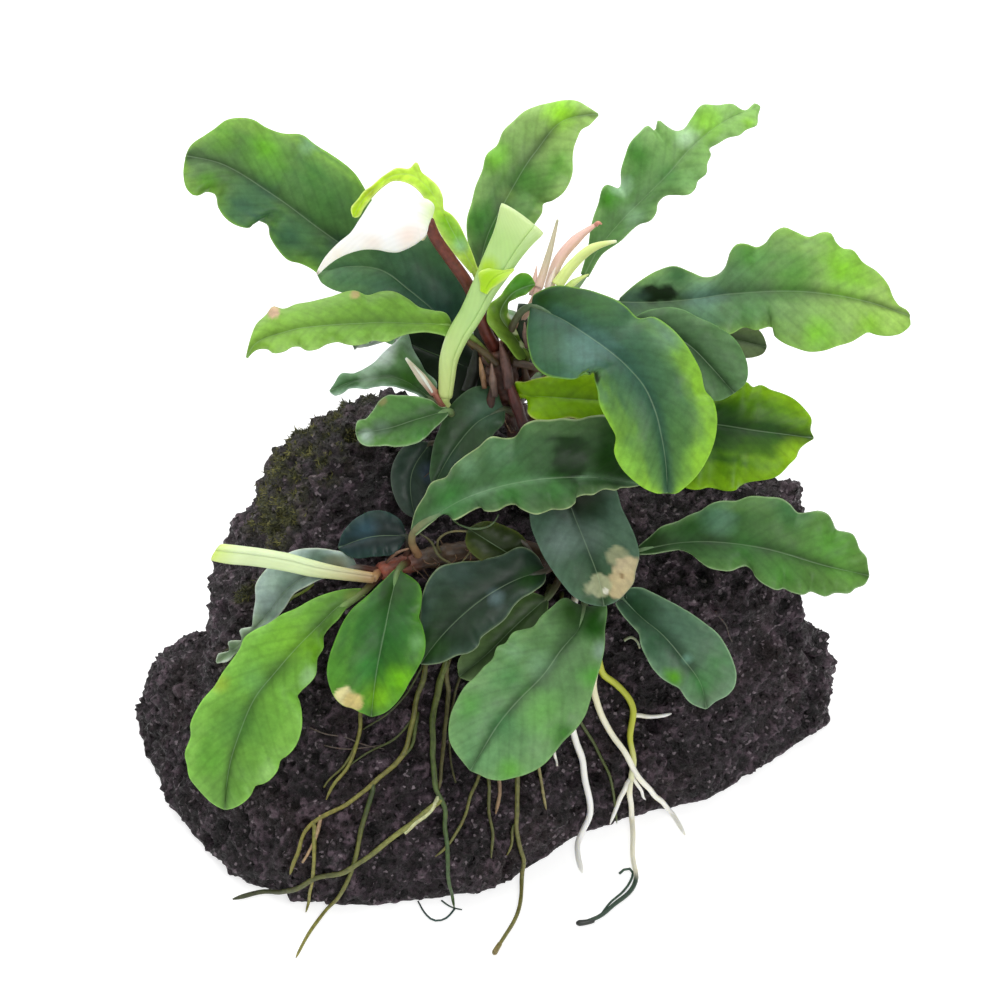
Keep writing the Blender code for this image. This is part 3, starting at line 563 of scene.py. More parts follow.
def makeStone():
    shape = bmesh.new()
    shape.from_mesh(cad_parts["stone"].data)
    bmesh.ops.remove_doubles(shape, verts=shape.verts, dist=1e-6)
    mesh = bpy.data.meshes.new("stoneCore")
    shape.to_mesh(mesh)
    shape.free()
    core = placed("stoneCore", mesh)
    skinning = core.modifiers.new("voxels", "REMESH")
    skinning.mode, skinning.voxel_size = "VOXEL", stoneLook["voxel"] * mm
    eased = core.modifiers.new("eased", "SMOOTH")
    eased.iterations, eased.factor = stoneLook["easing"], 0.5
    values = {key: size * mm for key, size in stoneLook["relief"].items()}
    values |= {key: stoneLook[key] for key in ("warp", "seed")}
    mesh = runNodes(core, stoneTree(makeStoneMaterial(), values), values, "lavaStone")
    bpy.data.objects.remove(core)
    points = np.empty(len(mesh.vertices) * 3, np.float32)
    mesh.vertices.foreach_get("co", points)
    points = points.reshape(-1, 3)
    points[:, 2] = np.maximum(points[:, 2], 0)
    mesh.vertices.foreach_set("co", points.ravel())
    moss = np.zeros(len(points))
    for across, up, reach in mossLook["places"]:
        centre = np.array(laid(cadStone, across, up, 0)) * mm
        near = np.linalg.norm(points - centre, axis=1) / (reach * mm)
        moss = np.maximum(moss, np.clip(1.25 - near, 0, 1))
    speckle = np.array([noise.noise(Vector(p) / (mossLook["speckleSize"] * mm)) for p in points[moss > 0]])
    moss[moss > 0] = np.clip(moss[moss > 0] * (0.75 + speckle * 1.6), 0, 1)
    mesh.attributes.new("mossy", "FLOAT", "POINT").data.foreach_set("value", moss.astype(np.float32))
    mesh.shade_smooth()
    return placed("lavaStone", mesh)


def mossTree(material, values):
    tree, given = newTree("mossFelt", values)
    mossy = add(tree, "GeometryNodeInputNamedAttribute", {"Name": "mossy"},
                data_type="FLOAT").outputs["Attribute"]
    share = add(tree, "ShaderNodeMapRange", {"Value": mossy, "From Min": 0.3, "From Max": 0.8}).outputs[0]
    spots = add(tree, "GeometryNodeDistributePointsOnFaces",
                {"Mesh": given["Geometry"], "Distance Min": given["gap"], "Density Max": given["most"],
                 "Density Factor": share, "Seed": given["seed"]}, distribute_method="POISSON").outputs
    blade = add(tree, "GeometryNodeMeshCone",
                {"Vertices": 3, "Radius Bottom": given["bladeRadius"], "Depth": given["bladeLength"]}).outputs
    lean = add(tree, "ShaderNodeCombineXYZ", {0: given["lean"], 1: given["lean"], 2: math.pi}).outputs[0]
    back = add(tree, "ShaderNodeVectorMath", {0: lean, 3: -1.0}, operation="SCALE").outputs[0]
    tilt = add(tree, "FunctionNodeRandomValue", {0: back, 1: lean, "Seed": given["seed"]},
               data_type="FLOAT_VECTOR").outputs[0]
    tilt = add(tree, "FunctionNodeEulerToRotation", {0: tilt}).outputs[0]
    aim = add(tree, "FunctionNodeRotateRotation", {0: spots["Rotation"], 1: tilt},
              rotation_space="LOCAL").outputs[0]
    size = add(tree, "FunctionNodeRandomValue", {2: 0.45, 3: 1.3, "Seed": given["seed"]},
               data_type="FLOAT").outputs[1]
    grown = add(tree, "GeometryNodeInstanceOnPoints",
                {"Points": spots["Points"], "Instance": blade["Mesh"], "Rotation": aim, "Scale": size})
    return closeTree(tree, grown.outputs[0], material)


def makeMoss():
    m = mossLook
    material, tree, skin = newMaterial("mossFelt")
    spot = add(tree, "ShaderNodeTexCoord").outputs["Object"]
    cloud = add(tree, "ShaderNodeTexNoise",
                {"Vector": spot, "Scale": 1 / (m["cloudSize"] * mm), "Detail": 4.0}).outputs["Fac"]
    feed(tree, skin, {"Base Color": (cloud, list(zip((0.36, 0.5, 0.66), m["tones"]))), "Roughness": 0.75})
    values = {key: size * mm for key, size in m["sizes"].items()}
    values |= {key: m[key] for key in ("lean", "most", "seed")}
    mesh = runNodes(lavaStone, mossTree(material, values), values, "mossFelt")
    print("moss made:", len(mesh.polygons), "faces")
    return placed("mossFelt", mesh)


lavaStone = makeStone()
rock = surfaceOf(lavaStone.data)
print("stone made:", len(lavaStone.data.polygons), "faces")
mossFelt = makeMoss()


# The stems creep over the stone; each one's places are from its foot upwards, and each is ringed
# by the scars of fallen leaves

stems = {
    "stem_upper": dict(places=[(3, 43, 22.5), (2.5, 48.5, 26), (0.5, 54, 28.5), (-0.5, 58.5, 30)],
                       radii=(1.7, 2.1)),
    "stem_side": dict(places=[(-7, 42, 27), (-7, 46, 28.5), (-7.5, 50, 30)], radii=(1.1, 1.2)),
    "stem_lower": dict(along=[(-18, 26), (-14, 27.5), (-8.5, 29), (0, 29.5), (7, 28), (11.5, 24.5)],
                       radii=(1.2, 1.7), bark="#4c3314", shade="#1f1608", young="#3a2414", foot="#9a5440"),
}
stemLook = dict(points=60, sides=16, gap=0.35, ringGap=1.7, ring=0.14, knob=0.16,
                rough=0.12, roughSize=0.8, ends=(0.7, 0.6), bark="#4a281d", shade="#24150f", young="#6e4636")
stemLines = {}


def makeStems():
    s = stemLook
    for number, (name, spec) in enumerate(stems.items()):
        first, last = spec["radii"]
        clear = max(first, last) + s["gap"]
        if "along" in spec:
            path = laidPath(cadStone, spec["along"], clear, s["points"])
        else:
            path = smoothLine(seen(spec["places"]), s["points"])
            path = np.array([pushedOff(cadStone, Vector(p), clear) for p in path])
        share = np.linspace(0, 1, s["points"])
        base = first + (last - first) * share
        stemLines[name] = path
        length = np.linalg.norm(np.diff(path, axis=0), axis=1).sum()
        rings = np.abs(np.sin(share * length / s["ringGap"] * np.pi + wave(number, share * 6)))
        radii = base * (1 + s["ring"] * (rings - 0.5) + s["knob"] * wave(number + 9, share * length, 1.3))
        radii[[0, -1]] *= s["ends"]
        bark, shade, young = (linear(spec.get(key, s[key])) for key in ("bark", "shade", "young"))
        mixIn = np.clip(0.5 + 0.6 * wave(number + 20, share * length, 2.0), 0, 1)[:, None]
        tone = bark * (1 - mixIn) + shade * mixIn
        tone = tone * (1 - share[:, None] ** 3 * 0.6) + young * share[:, None] ** 3 * 0.6
        if "foot" in spec:
            tone = tone + (linear(spec["foot"]) - tone) * np.clip(1.1 - share / 0.2, 0, 1)[:, None]
        points, *rest = tubePart(path, radii, s["sides"], tone)
        centre = np.repeat(path, s["sides"], axis=0)
        rough = np.array([noise.noise(Vector(p) / s["roughSize"]) for p in points])[:, None]
        points = points + (points - centre) * rough * s["rough"]
        made = piece(name.replace("stem_", "stem") + "Bark", [(points, *rest)], barkSkin)
        handOver(made, name)


makeStems()
print("stems made")


def stemPlace(name, at):
    # the point on a stem's line at a share of its length
    path = stemLines[name]
    i = at * (len(path) - 1)
    low = min(int(i), len(path) - 2)
    return path[low] + (path[low + 1] - path[low]) * (i - low)


# Leaves. Each has its rib and its two margins as they are seen, from the neck to the tip, and
# depth: how far toward the viewer its neck, middle and tip lie. face is the way its upper side
# looks. tones are the colours of its middle, its tip, its edge and its rib; the edge colour is
# partly the margin's own paler colour and partly painted light shining through the thin blade.
# marks are spots painted on it: some are its own markings, and some are painted sheen and
# painted shadow, as said at each leaf. Each has its place, its reach, its colour, its strength
# and, where it isn't soft, how crisp it is. A leaf that the photo's side doesn't show has a spine
# through space and a width instead. bladeLook has what each leaf takes that doesn't say otherwise.

bladeLook = dict(
    stem="stem_upper", face=(0, 0.2, 1), plain=False, cup=0, marks=[], edgeStart=-1, foot="#4c2a1e",
    rows=97, half=13, neckHalf=0.6, tipHalf=0.15, calm=15, flatNeck=8, flatTip=12,
    thick=0.36, thin=0.13, keel=0.5, keelWide=0.7, groove=0.09, grooveWide=0.4, bulge=0.09,
    ruffle=0.9, ruffleHigh=1.4, ruffleCurve=2.2, roll=0.45, rollPitch=11, quilt=0.012, veinGap=2.4,
    veinSlant=1.1, swell=0.3, swellSize=5.0,
    stalk=0.5, stalkPoints=26, stalkSides=12, stalkSink=-0.35, keelReach=0.35, taper=0.62, footHigh=0.4,
    lineWide=0.22, veil=0.012, core=0.6, coreWide=1.5, coreTone="#173019", edgeFrom=0.5, rim=0.5,
    streakLong=8, streakWide=0.9, tipFrom=0.4, tipOver=0.5, runOver=0.3,
)

leaves = {}
leaves["leaf_high_left"] = dict(
    at=0.8, depth=(25, 23, 23), age="leaf_mid",
    rib=[(-12.5, 66.5), (-25.5, 75.5), (-33, 81), (-40, 85), (-44.7, 86)],
    upper=[(-14, 72), (-16.5, 77), (-19, 81), (-20.5, 83.3), (-24, 86.2), (-26.5, 87.8), (-28, 88.8),
           (-31, 89.3), (-33.5, 90.2), (-35, 91), (-37, 91.3), (-39, 91), (-40.5, 90), (-42, 89),
           (-44.2, 87.2)],
    lower=[(-17, 67), (-22, 67.5), (-25, 68.3), (-26.8, 70), (-28.5, 70.8), (-30, 71), (-31.5, 72.5),
           (-32.7, 74.5), (-33.2, 76.6), (-34, 76.9), (-36, 75.7), (-37.5, 76), (-39, 77), (-40, 78.5),
           (-40.7, 80.9), (-41.5, 81), (-43.7, 80.2), (-44.5, 81), (-45, 83)],
    tones=("#507841", "#587847", "#89b846", "#8fbf78"),
    marks=[(-36.8, 78.6, 3.8, "#345a4c", 0.7), (-30.2, 74.2, 3.8, "#2c5040", 0.75),
           (-22, 71, 3.6, "#28473a", 0.8), (-33.4, 87.2, 3.1, "#64a818", 0.75),
           (-24, 79.5, 3.4, "#3f6b32", 0.7), (-27.4, 87.6, 1.3, "#7ea386", 0.6),
           (-41.6, 82.4, 1.8, "#5c9a1c", 0.6), (-39.5, 88.5, 2, "#6aa436", 0.5),
           (-17, 77, 2.6, "#356030", 0.7), (-26.5, 83.5, 2.2, "#447a36", 0.5)],
)
leaves["leaf_dark_left"] = dict(
    at=0.92, depth=(28, 29.5, 29), age="leaf_old",
    rib=[(-5, 60.5), (-9, 63.6), (-13, 67), (-17, 69.8), (-21.5, 70.3), (-26, 69.2)],
    upper=[(-3.6, 62.5), (-3.4, 66), (-4.5, 69), (-7, 72), (-10.2, 75), (-14, 76), (-18, 75.6), (-21, 74),
           (-24, 71.6)],
    lower=[(-6, 60), (-10, 61.3), (-14, 63.4), (-18, 65.2), (-21.9, 66.4), (-23.9, 67), (-25.3, 67.9)],
    tones=("#33503f", "#5d864e", "#628556", "#7d9c76"),
    marks=[(-10, 71, 3, "#3c5f3d", 0.6), (-8, 64, 3, "#294640", 0.7), (-22.5, 69, 2.6, "#44684a", 0.8),
           (-17, 67.3, 2.4, "#3a5a48", 0.6), (-15.5, 72.5, 2.6, "#365640", 0.6)],
    core=0.25,
)
leaves["leaf_hood"] = dict(
    at=0.98, depth=(32.5, 34, 34), age="leaf_young", bulge=0.02,
    rib=[(-3.6, 69.6), (-5.2, 72.6), (-6.9, 75.6), (-8.6, 78.9), (-10.2, 81.4), (-12.6, 83.3), (-15.3, 83.2),
         (-17.8, 81.4), (-19.6, 79.6), (-20.8, 77.3)],
    upper=[(-3.3, 70.4), (-3.8, 71.8), (-4.3, 73.1), (-5.1, 74.9), (-6, 76.6), (-7.1, 77.9), (-8.1, 78.6),
           (-8.2, 80.1), (-8.8, 81.6), (-10, 82.9), (-11.1, 83.8), (-12, 85.1), (-12.7, 84.4), (-14.8, 84.3),
           (-15.9, 83.7), (-17.1, 82.9), (-18.2, 81.9), (-19.4, 81), (-20.2, 79.9), (-21.2, 78.5)],
    lower=[(-6, 71.5), (-7.4, 73.2), (-8.6, 75.2), (-9.5, 77), (-10.4, 79.2), (-11.6, 81), (-13.6, 82.3),
           (-15, 82.5), (-16.7, 81.6), (-18.2, 80.1), (-19.3, 78.6), (-20.2, 77.3)],
    tones=("#b4dc50", "#b9e02c", "#dcf08a", "#c9e07f"),
    marks=[(-7.6, 76.6, 1.7, "#78b410", 0.9), (-6, 74.6, 1.8, "#6fae35", 0.8),
           (-5.6, 73.2, 1.1, "#98cc98", 0.7), (-10.2, 81.2, 1.2, "#98c83c", 0.7),
           (-18.4, 80.7, 1, "#8f9a20", 0.6)],
    core=0, ruffle=0.5,
)
leaves["leaf_bright_left"] = dict(
    at=0.62, depth=(35, 38.5, 38.5), age="leaf_young", face=(0, 0.55, 0.8),
    rib=[(-7, 61.8), (-12, 62.2), (-18, 62.2), (-24, 61.9), (-30, 61), (-35, 59), (-36, 57.3)],
    upper=[(-7.5, 63.4), (-9.5, 64), (-11.5, 64.6), (-13, 65.6), (-15, 66.5), (-17, 66.6), (-19, 66.3),
           (-20.5, 66.7), (-22.5, 66.5), (-24, 66), (-26.5, 65.4), (-29, 64.9), (-31, 64.3), (-32.2, 64.4),
           (-33.2, 63.4), (-34.6, 62), (-35.3, 60.6)],
    lower=[(-7, 60.2), (-9, 60.7), (-11, 61), (-13, 60.9), (-15, 60), (-16, 59.4), (-17, 59.6), (-18, 60),
           (-19, 59.3), (-20.5, 58.8), (-22, 59.2), (-23, 59.8), (-24.5, 59.5), (-26, 58.4), (-27.5, 58.2),
           (-28.5, 59), (-29.5, 59), (-30.5, 58), (-32, 57.8), (-33, 58.5), (-34.5, 58.5)],
    tones=("#6e9c3c", "#82ae44", "#94b669", "#a5cc70"),
    marks=[(-32.3, 63.9, 0.9, "#c9a58c", 0.9, 3), (-20.7, 66.4, 0.6, "#b9a070", 0.8, 3),
           (-9, 62, 3, "#68902f", 0.7)],
    ruffle=0.55, core=0.35,
)
leaves["leaf_top"] = dict(
    at=0.97, depth=(27, 26.5, 28), age="leaf_mid",
    rib=[(-3, 68.5), (-2, 74), (1, 80), (5, 86.5), (9, 91), (14, 91.9)],
    upper=[(-4, 71.5), (-4.6, 74), (-4.7, 77), (-4, 79.5), (-3.5, 81.5), (-2.5, 84), (-1.8, 86.2),
           (-0.5, 87.5), (0.5, 89.5), (2, 91), (3.5, 92.3), (5, 93), (7, 93.6), (9, 94), (11, 93.8),
           (12.5, 93)],
    lower=[(0, 71), (3, 73.5), (5, 76.5), (6, 78), (6, 79.2), (7.5, 79.7), (9, 80.7), (10, 82.5), (10.4, 84),
           (10.3, 85.5), (10.5, 87), (11, 88.5), (11.5, 89.7), (12.7, 90.3), (13.5, 91.2)],
    tones=("#678a53", "#96ba64", "#9ec370", "#a5cc84"),
    marks=[(-0.6, 86, 2.6, "#74bb26", 0.7), (8.6, 92.4, 2.6, "#93d426", 0.85),
           (-3, 76.8, 2.8, "#35701c", 0.75), (4, 82.6, 3, "#3f7a2a", 0.65), (9, 84.4, 1.8, "#5b9c34", 0.5),
           (3, 76, 2.4, "#4a8030", 0.5), (1.2, 80.4, 1.2, "#8ab45a", 0.4)],
)
leaves["leaf_top_right"] = dict(
    at=0.9, depth=(25, 25, 22), age="leaf_mid",
    rib=[(12, 69), (14.5, 73.5), (17.5, 77), (21, 80.5), (24, 83.5), (27, 87), (32.5, 91.2), (37, 93)],
    upper=[(12.5, 73), (13, 76.2), (13.9, 79), (15.2, 81.8), (16.8, 81.7), (17.2, 84), (17.8, 86),
           (18.5, 87.8), (19.8, 89.2), (21.1, 90.2), (22, 89.7), (22.5, 90.9), (23.5, 90.3), (25, 89.8),
           (26, 90), (27.3, 91.5), (28.5, 93), (31, 93.2), (33, 93.3), (35, 92.5), (36.3, 93.5)],
    lower=[(13, 69.5), (14.5, 72), (17.2, 73.9), (20, 76.4), (21.5, 76.8), (22.2, 77.8), (22.5, 79.5),
           (23.5, 80.4), (25, 80.5), (27, 80.4), (27.8, 81.3), (28.1, 82.5), (29.3, 83.3), (29.5, 85),
           (30, 86.2), (29.8, 87.3), (31, 87.8), (32.5, 88.6), (34, 88.8), (35, 89.7), (36.3, 90),
           (36.7, 91.8)],
    tones=("#608950", "#91c068", "#8fb470", "#b9d8a8"), core=0.15,
    marks=[(19.6, 86.2, 2.4, "#3c7826", 0.8), (15.4, 79.8, 1.8, "#44880f", 0.8),
           (23.9, 83.4, 2, "#447a3c", 0.6), (29.5, 91.2, 2.5, "#88c636", 0.75),
           (17.2, 81.6, 1.3, "#b2d6b4", 0.55), (19.2, 77, 1.8, "#98bc98", 0.5),
           (26.4, 88.6, 1.8, "#b0cfaa", 0.65), (27.4, 82.6, 1.8, "#7fae6c", 0.45),
           (35.4, 90.8, 1.3, "#8ac23a", 0.7)],
)
leaves["leaf_far_right"] = dict(
    at=0.75, depth=(27, 31, 31), age="leaf_mid",
    rib=[(17, 65.2), (24, 65.3), (33, 66.4), (43, 66.7), (52, 65.3), (58.3, 63.2)],
    upper=[(18.5, 67.2), (20.5, 68.6), (22.5, 69.6), (25, 70.2), (27, 69.6), (29, 69), (31, 69.5),
           (32.3, 70.8), (33, 72.3), (33.8, 73.2), (35, 73.4), (36.5, 73.2), (37.5, 73.6), (39, 75),
           (40.3, 75.6), (42, 75.2), (44, 74.6), (46, 75), (47, 74.8), (47.7, 73.8), (48.8, 72.9),
           (50, 72.6), (51.5, 71), (53.5, 69.6), (55, 67.8), (56, 65.8), (56.9, 64.7), (57.9, 64.1)],
    lower=[(18.5, 62), (20, 61.4), (22, 61.2), (25, 61.4), (28, 61), (31, 60.2), (33, 60.7), (34.5, 61.8),
           (36.5, 61.2), (38.5, 62), (39, 60.5), (40, 59.5), (42, 58.6), (44, 58), (46, 58.2), (48, 59),
           (50, 59.6), (51.5, 60.6), (52.5, 61.2), (53.5, 60.6), (55, 60.2), (56.5, 60.4), (57.7, 61.2),
           (58.4, 62.1)],
    tones=("#5d8156", "#96bc5b", "#8cb552", "#a3c592"),
    # the two crisp near-black ovals by the neck are a painted shadow seen through the blade, and the
    # grey-teal spot at (29, 65.6) is a painted sheen
    marks=[(21.7, 66.5, 1.35, "#0f2a04", 1.0, 2.5), (23.8, 66.6, 1.3, "#0f2a04", 1.0, 2.5),
           (29, 65.6, 2.8, "#62877a", 0.5), (48.6, 69.6, 3.6, "#78b818", 0.8),
           (45, 60.4, 2.4, "#76ba18", 0.75), (42, 69.4, 3.2, "#4b8c26", 0.6),
           (35.6, 71.6, 3, "#46822c", 0.65), (25.4, 69.4, 1.9, "#2c5a30", 0.75),
           (18.8, 65.6, 2, "#3c5448", 0.7), (36, 64.4, 2.6, "#5a8c50", 0.45),
           (52.5, 62.2, 2, "#86c02c", 0.5)],
)
leaves["leaf_front_arch"] = dict(
    at=0.82, depth=(37, 46, 44), age="leaf_old", face=(-0.1, 0.3, 1),
    rib=[(4.5, 64.7), (8.5, 62.9), (12, 60.8), (15, 58.7), (18, 56.1), (20.5, 53.2), (22, 50), (23, 46),
         (23.6, 42), (23.8, 38.1)],
    upper=[(4.6, 65.9), (6, 66.9), (8, 67.5), (11, 67.2), (14, 66.5), (16.5, 65.5), (18, 64.5), (19.5, 63.2),
           (22, 63), (24, 61.8), (26, 59.8), (27.5, 57.5), (28.5, 55.5), (29.3, 52.5), (30.3, 51.3),
           (30.8, 49.5), (30.7, 46.5), (30, 44), (29, 42), (27.5, 40), (26.2, 38.8), (25, 38)],
    lower=[(4.1, 63.2), (3.9, 61.6), (3.9, 60.3), (4.2, 58.2), (5, 56), (6.3, 54.8), (8.2, 54.3),
           (10.6, 54.2), (12, 55.2), (13.2, 55.5), (13.4, 54.3), (13.8, 53), (14.2, 50.5), (15.5, 48),
           (16.5, 46), (16.2, 44), (17, 42), (18.5, 40.3), (20, 39.1), (21.3, 38.4), (22.6, 38)],
    tones=("#3f6147", "#588141", "#85b737", "#8fb087"), edgeStart=0.3, rim=0.9,
    core=0.8, coreWide=2.6, coreTone="#335246",
    # the grey-teal spots at (12, 57.5), (10, 53.9) and (24, 60) are painted sheen
    marks=[(12, 57.5, 3.6, "#5e817a", 0.6), (10, 53.9, 2.2, "#4a6c66", 0.5), (6, 66, 2.4, "#26450f", 0.9),
           (10.5, 66.6, 2.8, "#2a4d14", 0.85), (14.8, 65.4, 2.6, "#35601f", 0.7),
           (24, 60, 2.6, "#6f8f88", 0.4), (13.4, 54.6, 0.8, "#1d2410", 0.9, 3),
           (28.5, 43, 2.5, "#92c93e", 0.6), (18, 42, 2.5, "#8cc548", 0.6)],
)
leaves["leaf_behind_arch"] = dict(
    at=0.6, depth=(34, 36.5, 36), age="leaf_old",
    rib=[(19, 62.5), (27, 59), (30, 56), (33.3, 52.3)],
    upper=[(20, 63.6), (23, 64.4), (26, 64.1), (28.5, 62.9), (31, 61.7), (33, 60.4), (34.5, 58.2),
           (35.2, 56), (35, 54)],
    lower=[(21, 61), (24, 58), (26.5, 55), (28.5, 52.5), (30.5, 51.2)],
    tones=("#4a6945", "#507049", "#618753", "#7f9c72"),
)
leaves["leaf_under_far_right"] = dict(
    at=0.5, depth=(24, 22, 20), age="leaf_old",
    rib=[(15.5, 59.5), (27, 61), (33, 60), (37.9, 58.8)],
    upper=[(22, 63), (29, 63.6), (33, 62), (34.5, 62), (36.8, 61.2), (37.6, 60)],
    lower=[(22, 57), (30, 56.5), (34.5, 57.2), (36, 57.3), (37.5, 58)],
    tones=("#4e5a3b", "#6b7c58", "#636d47", "#72805a"),
)
leaves["leaf_bright_right"] = dict(
    at=0.4, depth=(28, 31, 30), age="leaf_young",
    rib=[(17, 48), (24, 48), (31, 47.8), (36, 47), (40, 46.5), (44.6, 45.9)],
    upper=[(18.5, 50), (24, 52), (30, 51.5), (33.5, 53), (35, 53.8), (36, 53.2), (37, 53.4), (38.5, 52.8),
           (40, 52.3), (42, 51.3), (43.3, 50), (44.2, 48.5), (44.2, 47)],
    lower=[(18, 45), (23, 41), (28.5, 38.5), (29.5, 38.9), (30.5, 38.8), (32, 38.3), (33.5, 38.4), (34, 39),
           (35, 39.6), (36.5, 39.8), (38, 40), (39.5, 40.5), (40.3, 41.2), (41, 42), (42, 43), (42.8, 44.5)],
    tones=("#3f6702", "#5d8902", "#7fa90a", "#8aa84a"), rim=0.8,
    core=0.85, coreWide=2.8, coreTone="#1e380a",
    marks=[(32, 47.6, 4.2, "#1f4014", 0.85), (38, 47.2, 3.4, "#2a4c18", 0.8),
           (41.5, 43.5, 2, "#9cc62e", 0.6)],
)
leaves["leaf_bright_centre"] = dict(
    at=0.45, depth=(31.5, 34, 34), age="leaf_young",
    rib=[(2.5, 52), (9, 51.6), (18, 51)],
    upper=[(2.3, 53.9), (3.4, 53.9), (4.6, 54.2), (6, 54.5), (8, 54.9), (10, 55.3), (12, 55.5), (14, 55.2),
           (16, 54), (17.5, 52.4)],
    lower=[(3.6, 51.6), (4, 50.4), (4.2, 49.1), (5.5, 48.3), (8, 48.4), (10, 48.9), (11.5, 48.5),
           (12.5, 48.2), (14, 48.2), (16, 48.7), (17.5, 49.8)],
    tones=("#7aa602", "#8dc006", "#9fc613", "#7fa51c"), core=0.1,
    marks=[(13.5, 53.5, 2.2, "#8fb61e", 0.6), (8, 50, 2, "#6f9c04", 0.5)],
    line="#cfd878",
)
leaves["leaf_edge_on"] = dict(
    at=0.93, depth=(32.5, 33.2, 33.2), age="leaf_mid", face=(0.45, 0, 0.9), bulge=0.02,
    rib=[(4, 57.5), (2, 60.5), (0, 63.5), (1.5, 66.3), (5, 67.8)],
    upper=[(3, 57), (0.8, 59.2), (-0.8, 61), (-1.9, 63.2), (-1.3, 65), (0.2, 66.3), (1.5, 68.2), (3, 69.4),
           (4.3, 69)],
    lower=[(4.8, 57.5), (3, 59.7), (2, 61.7), (1.2, 63.7), (1.3, 65.2), (2.3, 65.8), (3.7, 66.4)],
    tones=("#617e1f", "#5b9d2f", "#86aa45", "#5a7a3a"),
    marks=[(2.3, 61.3, 0.6, "#c2cb9c", 0.9, 3), (1.6, 63.4, 0.5, "#c2cb9c", 0.85, 3),
           (3.4, 59.3, 0.6, "#b9c294", 0.85, 3), (2.4, 68, 2.2, "#4a8a30", 0.7),
           (0.2, 60.5, 1.6, "#48601a", 0.6)],
)
leaves["leaf_shaded"] = dict(
    at=0.5, depth=(24, 22, 21), age="leaf_old",
    rib=[(-3.5, 55.5), (-8.5, 57.5), (-14, 59.8)],
    upper=[(-4.5, 60), (-8.5, 62), (-12.5, 61.5)],
    lower=[(-0.5, 52.5), (-3, 50.5), (-7, 49.5), (-10, 51), (-13, 56)],
    # its nearly black tones are painted shade
    tones=("#142515", "#192c16", "#253d1f", "#4a5f40"),
)
leaves["leaf_side_high"] = dict(
    stem="stem_side", at=0.95, depth=(28, 28, 29), age="leaf_old", face=(0, 0.7, 0.7),
    rib=[(-10, 51.5), (-15, 54.5), (-20, 54.2), (-24.2, 52.5)],
    upper=[(-9, 53), (-11, 56), (-12.5, 58.5), (-13.5, 60.3), (-14.5, 59.8), (-16, 58.5), (-17.5, 57),
           (-19, 55.9), (-20.5, 55.2), (-22.5, 54.8), (-23.5, 53.7)],
    lower=[(-12, 52.3), (-14, 53), (-15.5, 53.3), (-16.5, 53.6), (-18, 53.3), (-19, 52.9), (-20.5, 53.3),
           (-21.5, 52.9), (-23, 51.7)],
    # the pale grey edge colour and the pale grey spots at (-16.6, 58.4) and (-19, 55.6) are painted sheen
    tones=("#65895d", "#689366", "#b2ccbc", "#7d9070"),
    marks=[(-16.6, 58.4, 2.2, "#c6d2cf", 0.9), (-12.8, 54.6, 2.5, "#356008", 0.9),
           (-19, 55.6, 1.5, "#a9c0ae", 0.6), (-21.8, 53.8, 1.6, "#33582e", 0.7),
           (-14.5, 57.8, 1.2, "#5d7f4a", 0.5)],
)
leaves["leaf_side_low"] = dict(
    stem="stem_side", at=0.72, depth=(33, 34, 34), age="leaf_mid",
    rib=[(-7.5, 49.8), (-12, 48.5), (-16, 47.2), (-20.5, 46.7)],
    upper=[(-8, 50.3), (-10, 51.3), (-12, 51.8), (-14, 52), (-16, 51.9), (-17.2, 51), (-18.2, 49.7),
           (-19, 48.7), (-20.2, 48.2)],
    lower=[(-8.5, 48), (-9.8, 46.8), (-11, 45.6), (-13, 44.9), (-15, 44.7), (-17, 44.8), (-18.5, 44.6),
           (-19.7, 45)],
    tones=("#4e7a3f", "#5d824c", "#72a457", "#9cc08a"),
    marks=[(-19, 46.2, 1.3, "#9fb3a6", 0.8), (-17, 47.4, 1.6, "#708775", 0.5),
           (-16.9, 51.3, 0.8, "#8f8058", 0.7, 2), (-11, 46, 1.5, "#4b7f45", 0.5)],
    line="#a3bd93", ruffle=1.5,
)
leaves["leaf_dull"] = dict(
    at=0.3, depth=(30, 32, 33), age="leaf_old",
    rib=[(0.5, 50), (-3, 48.3), (-6, 45), (-9.5, 39)],
    upper=[(-1, 53), (-3.5, 53.2), (-6, 51.6), (-7.8, 49.2), (-8.7, 47), (-9.3, 45.5), (-9.8, 43),
           (-10, 40.5)],
    lower=[(0.5, 48), (-0.5, 47), (-1.5, 45.6), (-3, 43.6), (-5, 41), (-8, 38.9)],
    tones=("#32472f", "#30472d", "#465d41", "#65755a"),
    # the grey-green spot at (-2.5, 50) is a painted sheen
    marks=[(-2.5, 50, 2.6, "#52705d", 0.6), (0, 45, 2.4, "#3c4c40", 0.5), (-6, 42, 2, "#354a44", 0.5)],
    core=0.25,
)
leaves["leaf_hanging"] = dict(
    stem="stem_side", at=0.3, depth=(27, 28, 29), age="leaf_old",
    rib=[(-10, 45), (-12.5, 41), (-12, 34.5)],
    upper=[(-12.5, 45.5), (-15.3, 42), (-15, 37.5), (-13.5, 35.2)],
    lower=[(-9.5, 43), (-9.2, 39), (-10.2, 35.8)],
    tones=("#334139", "#3b4940", "#535c54", "#4d6044"),
    # the grey-blue spot at (-10, 41) is painted shade on its shaded side
    marks=[(-10, 41, 1.4, "#4b586c", 0.7)],
    core=0.2,
)
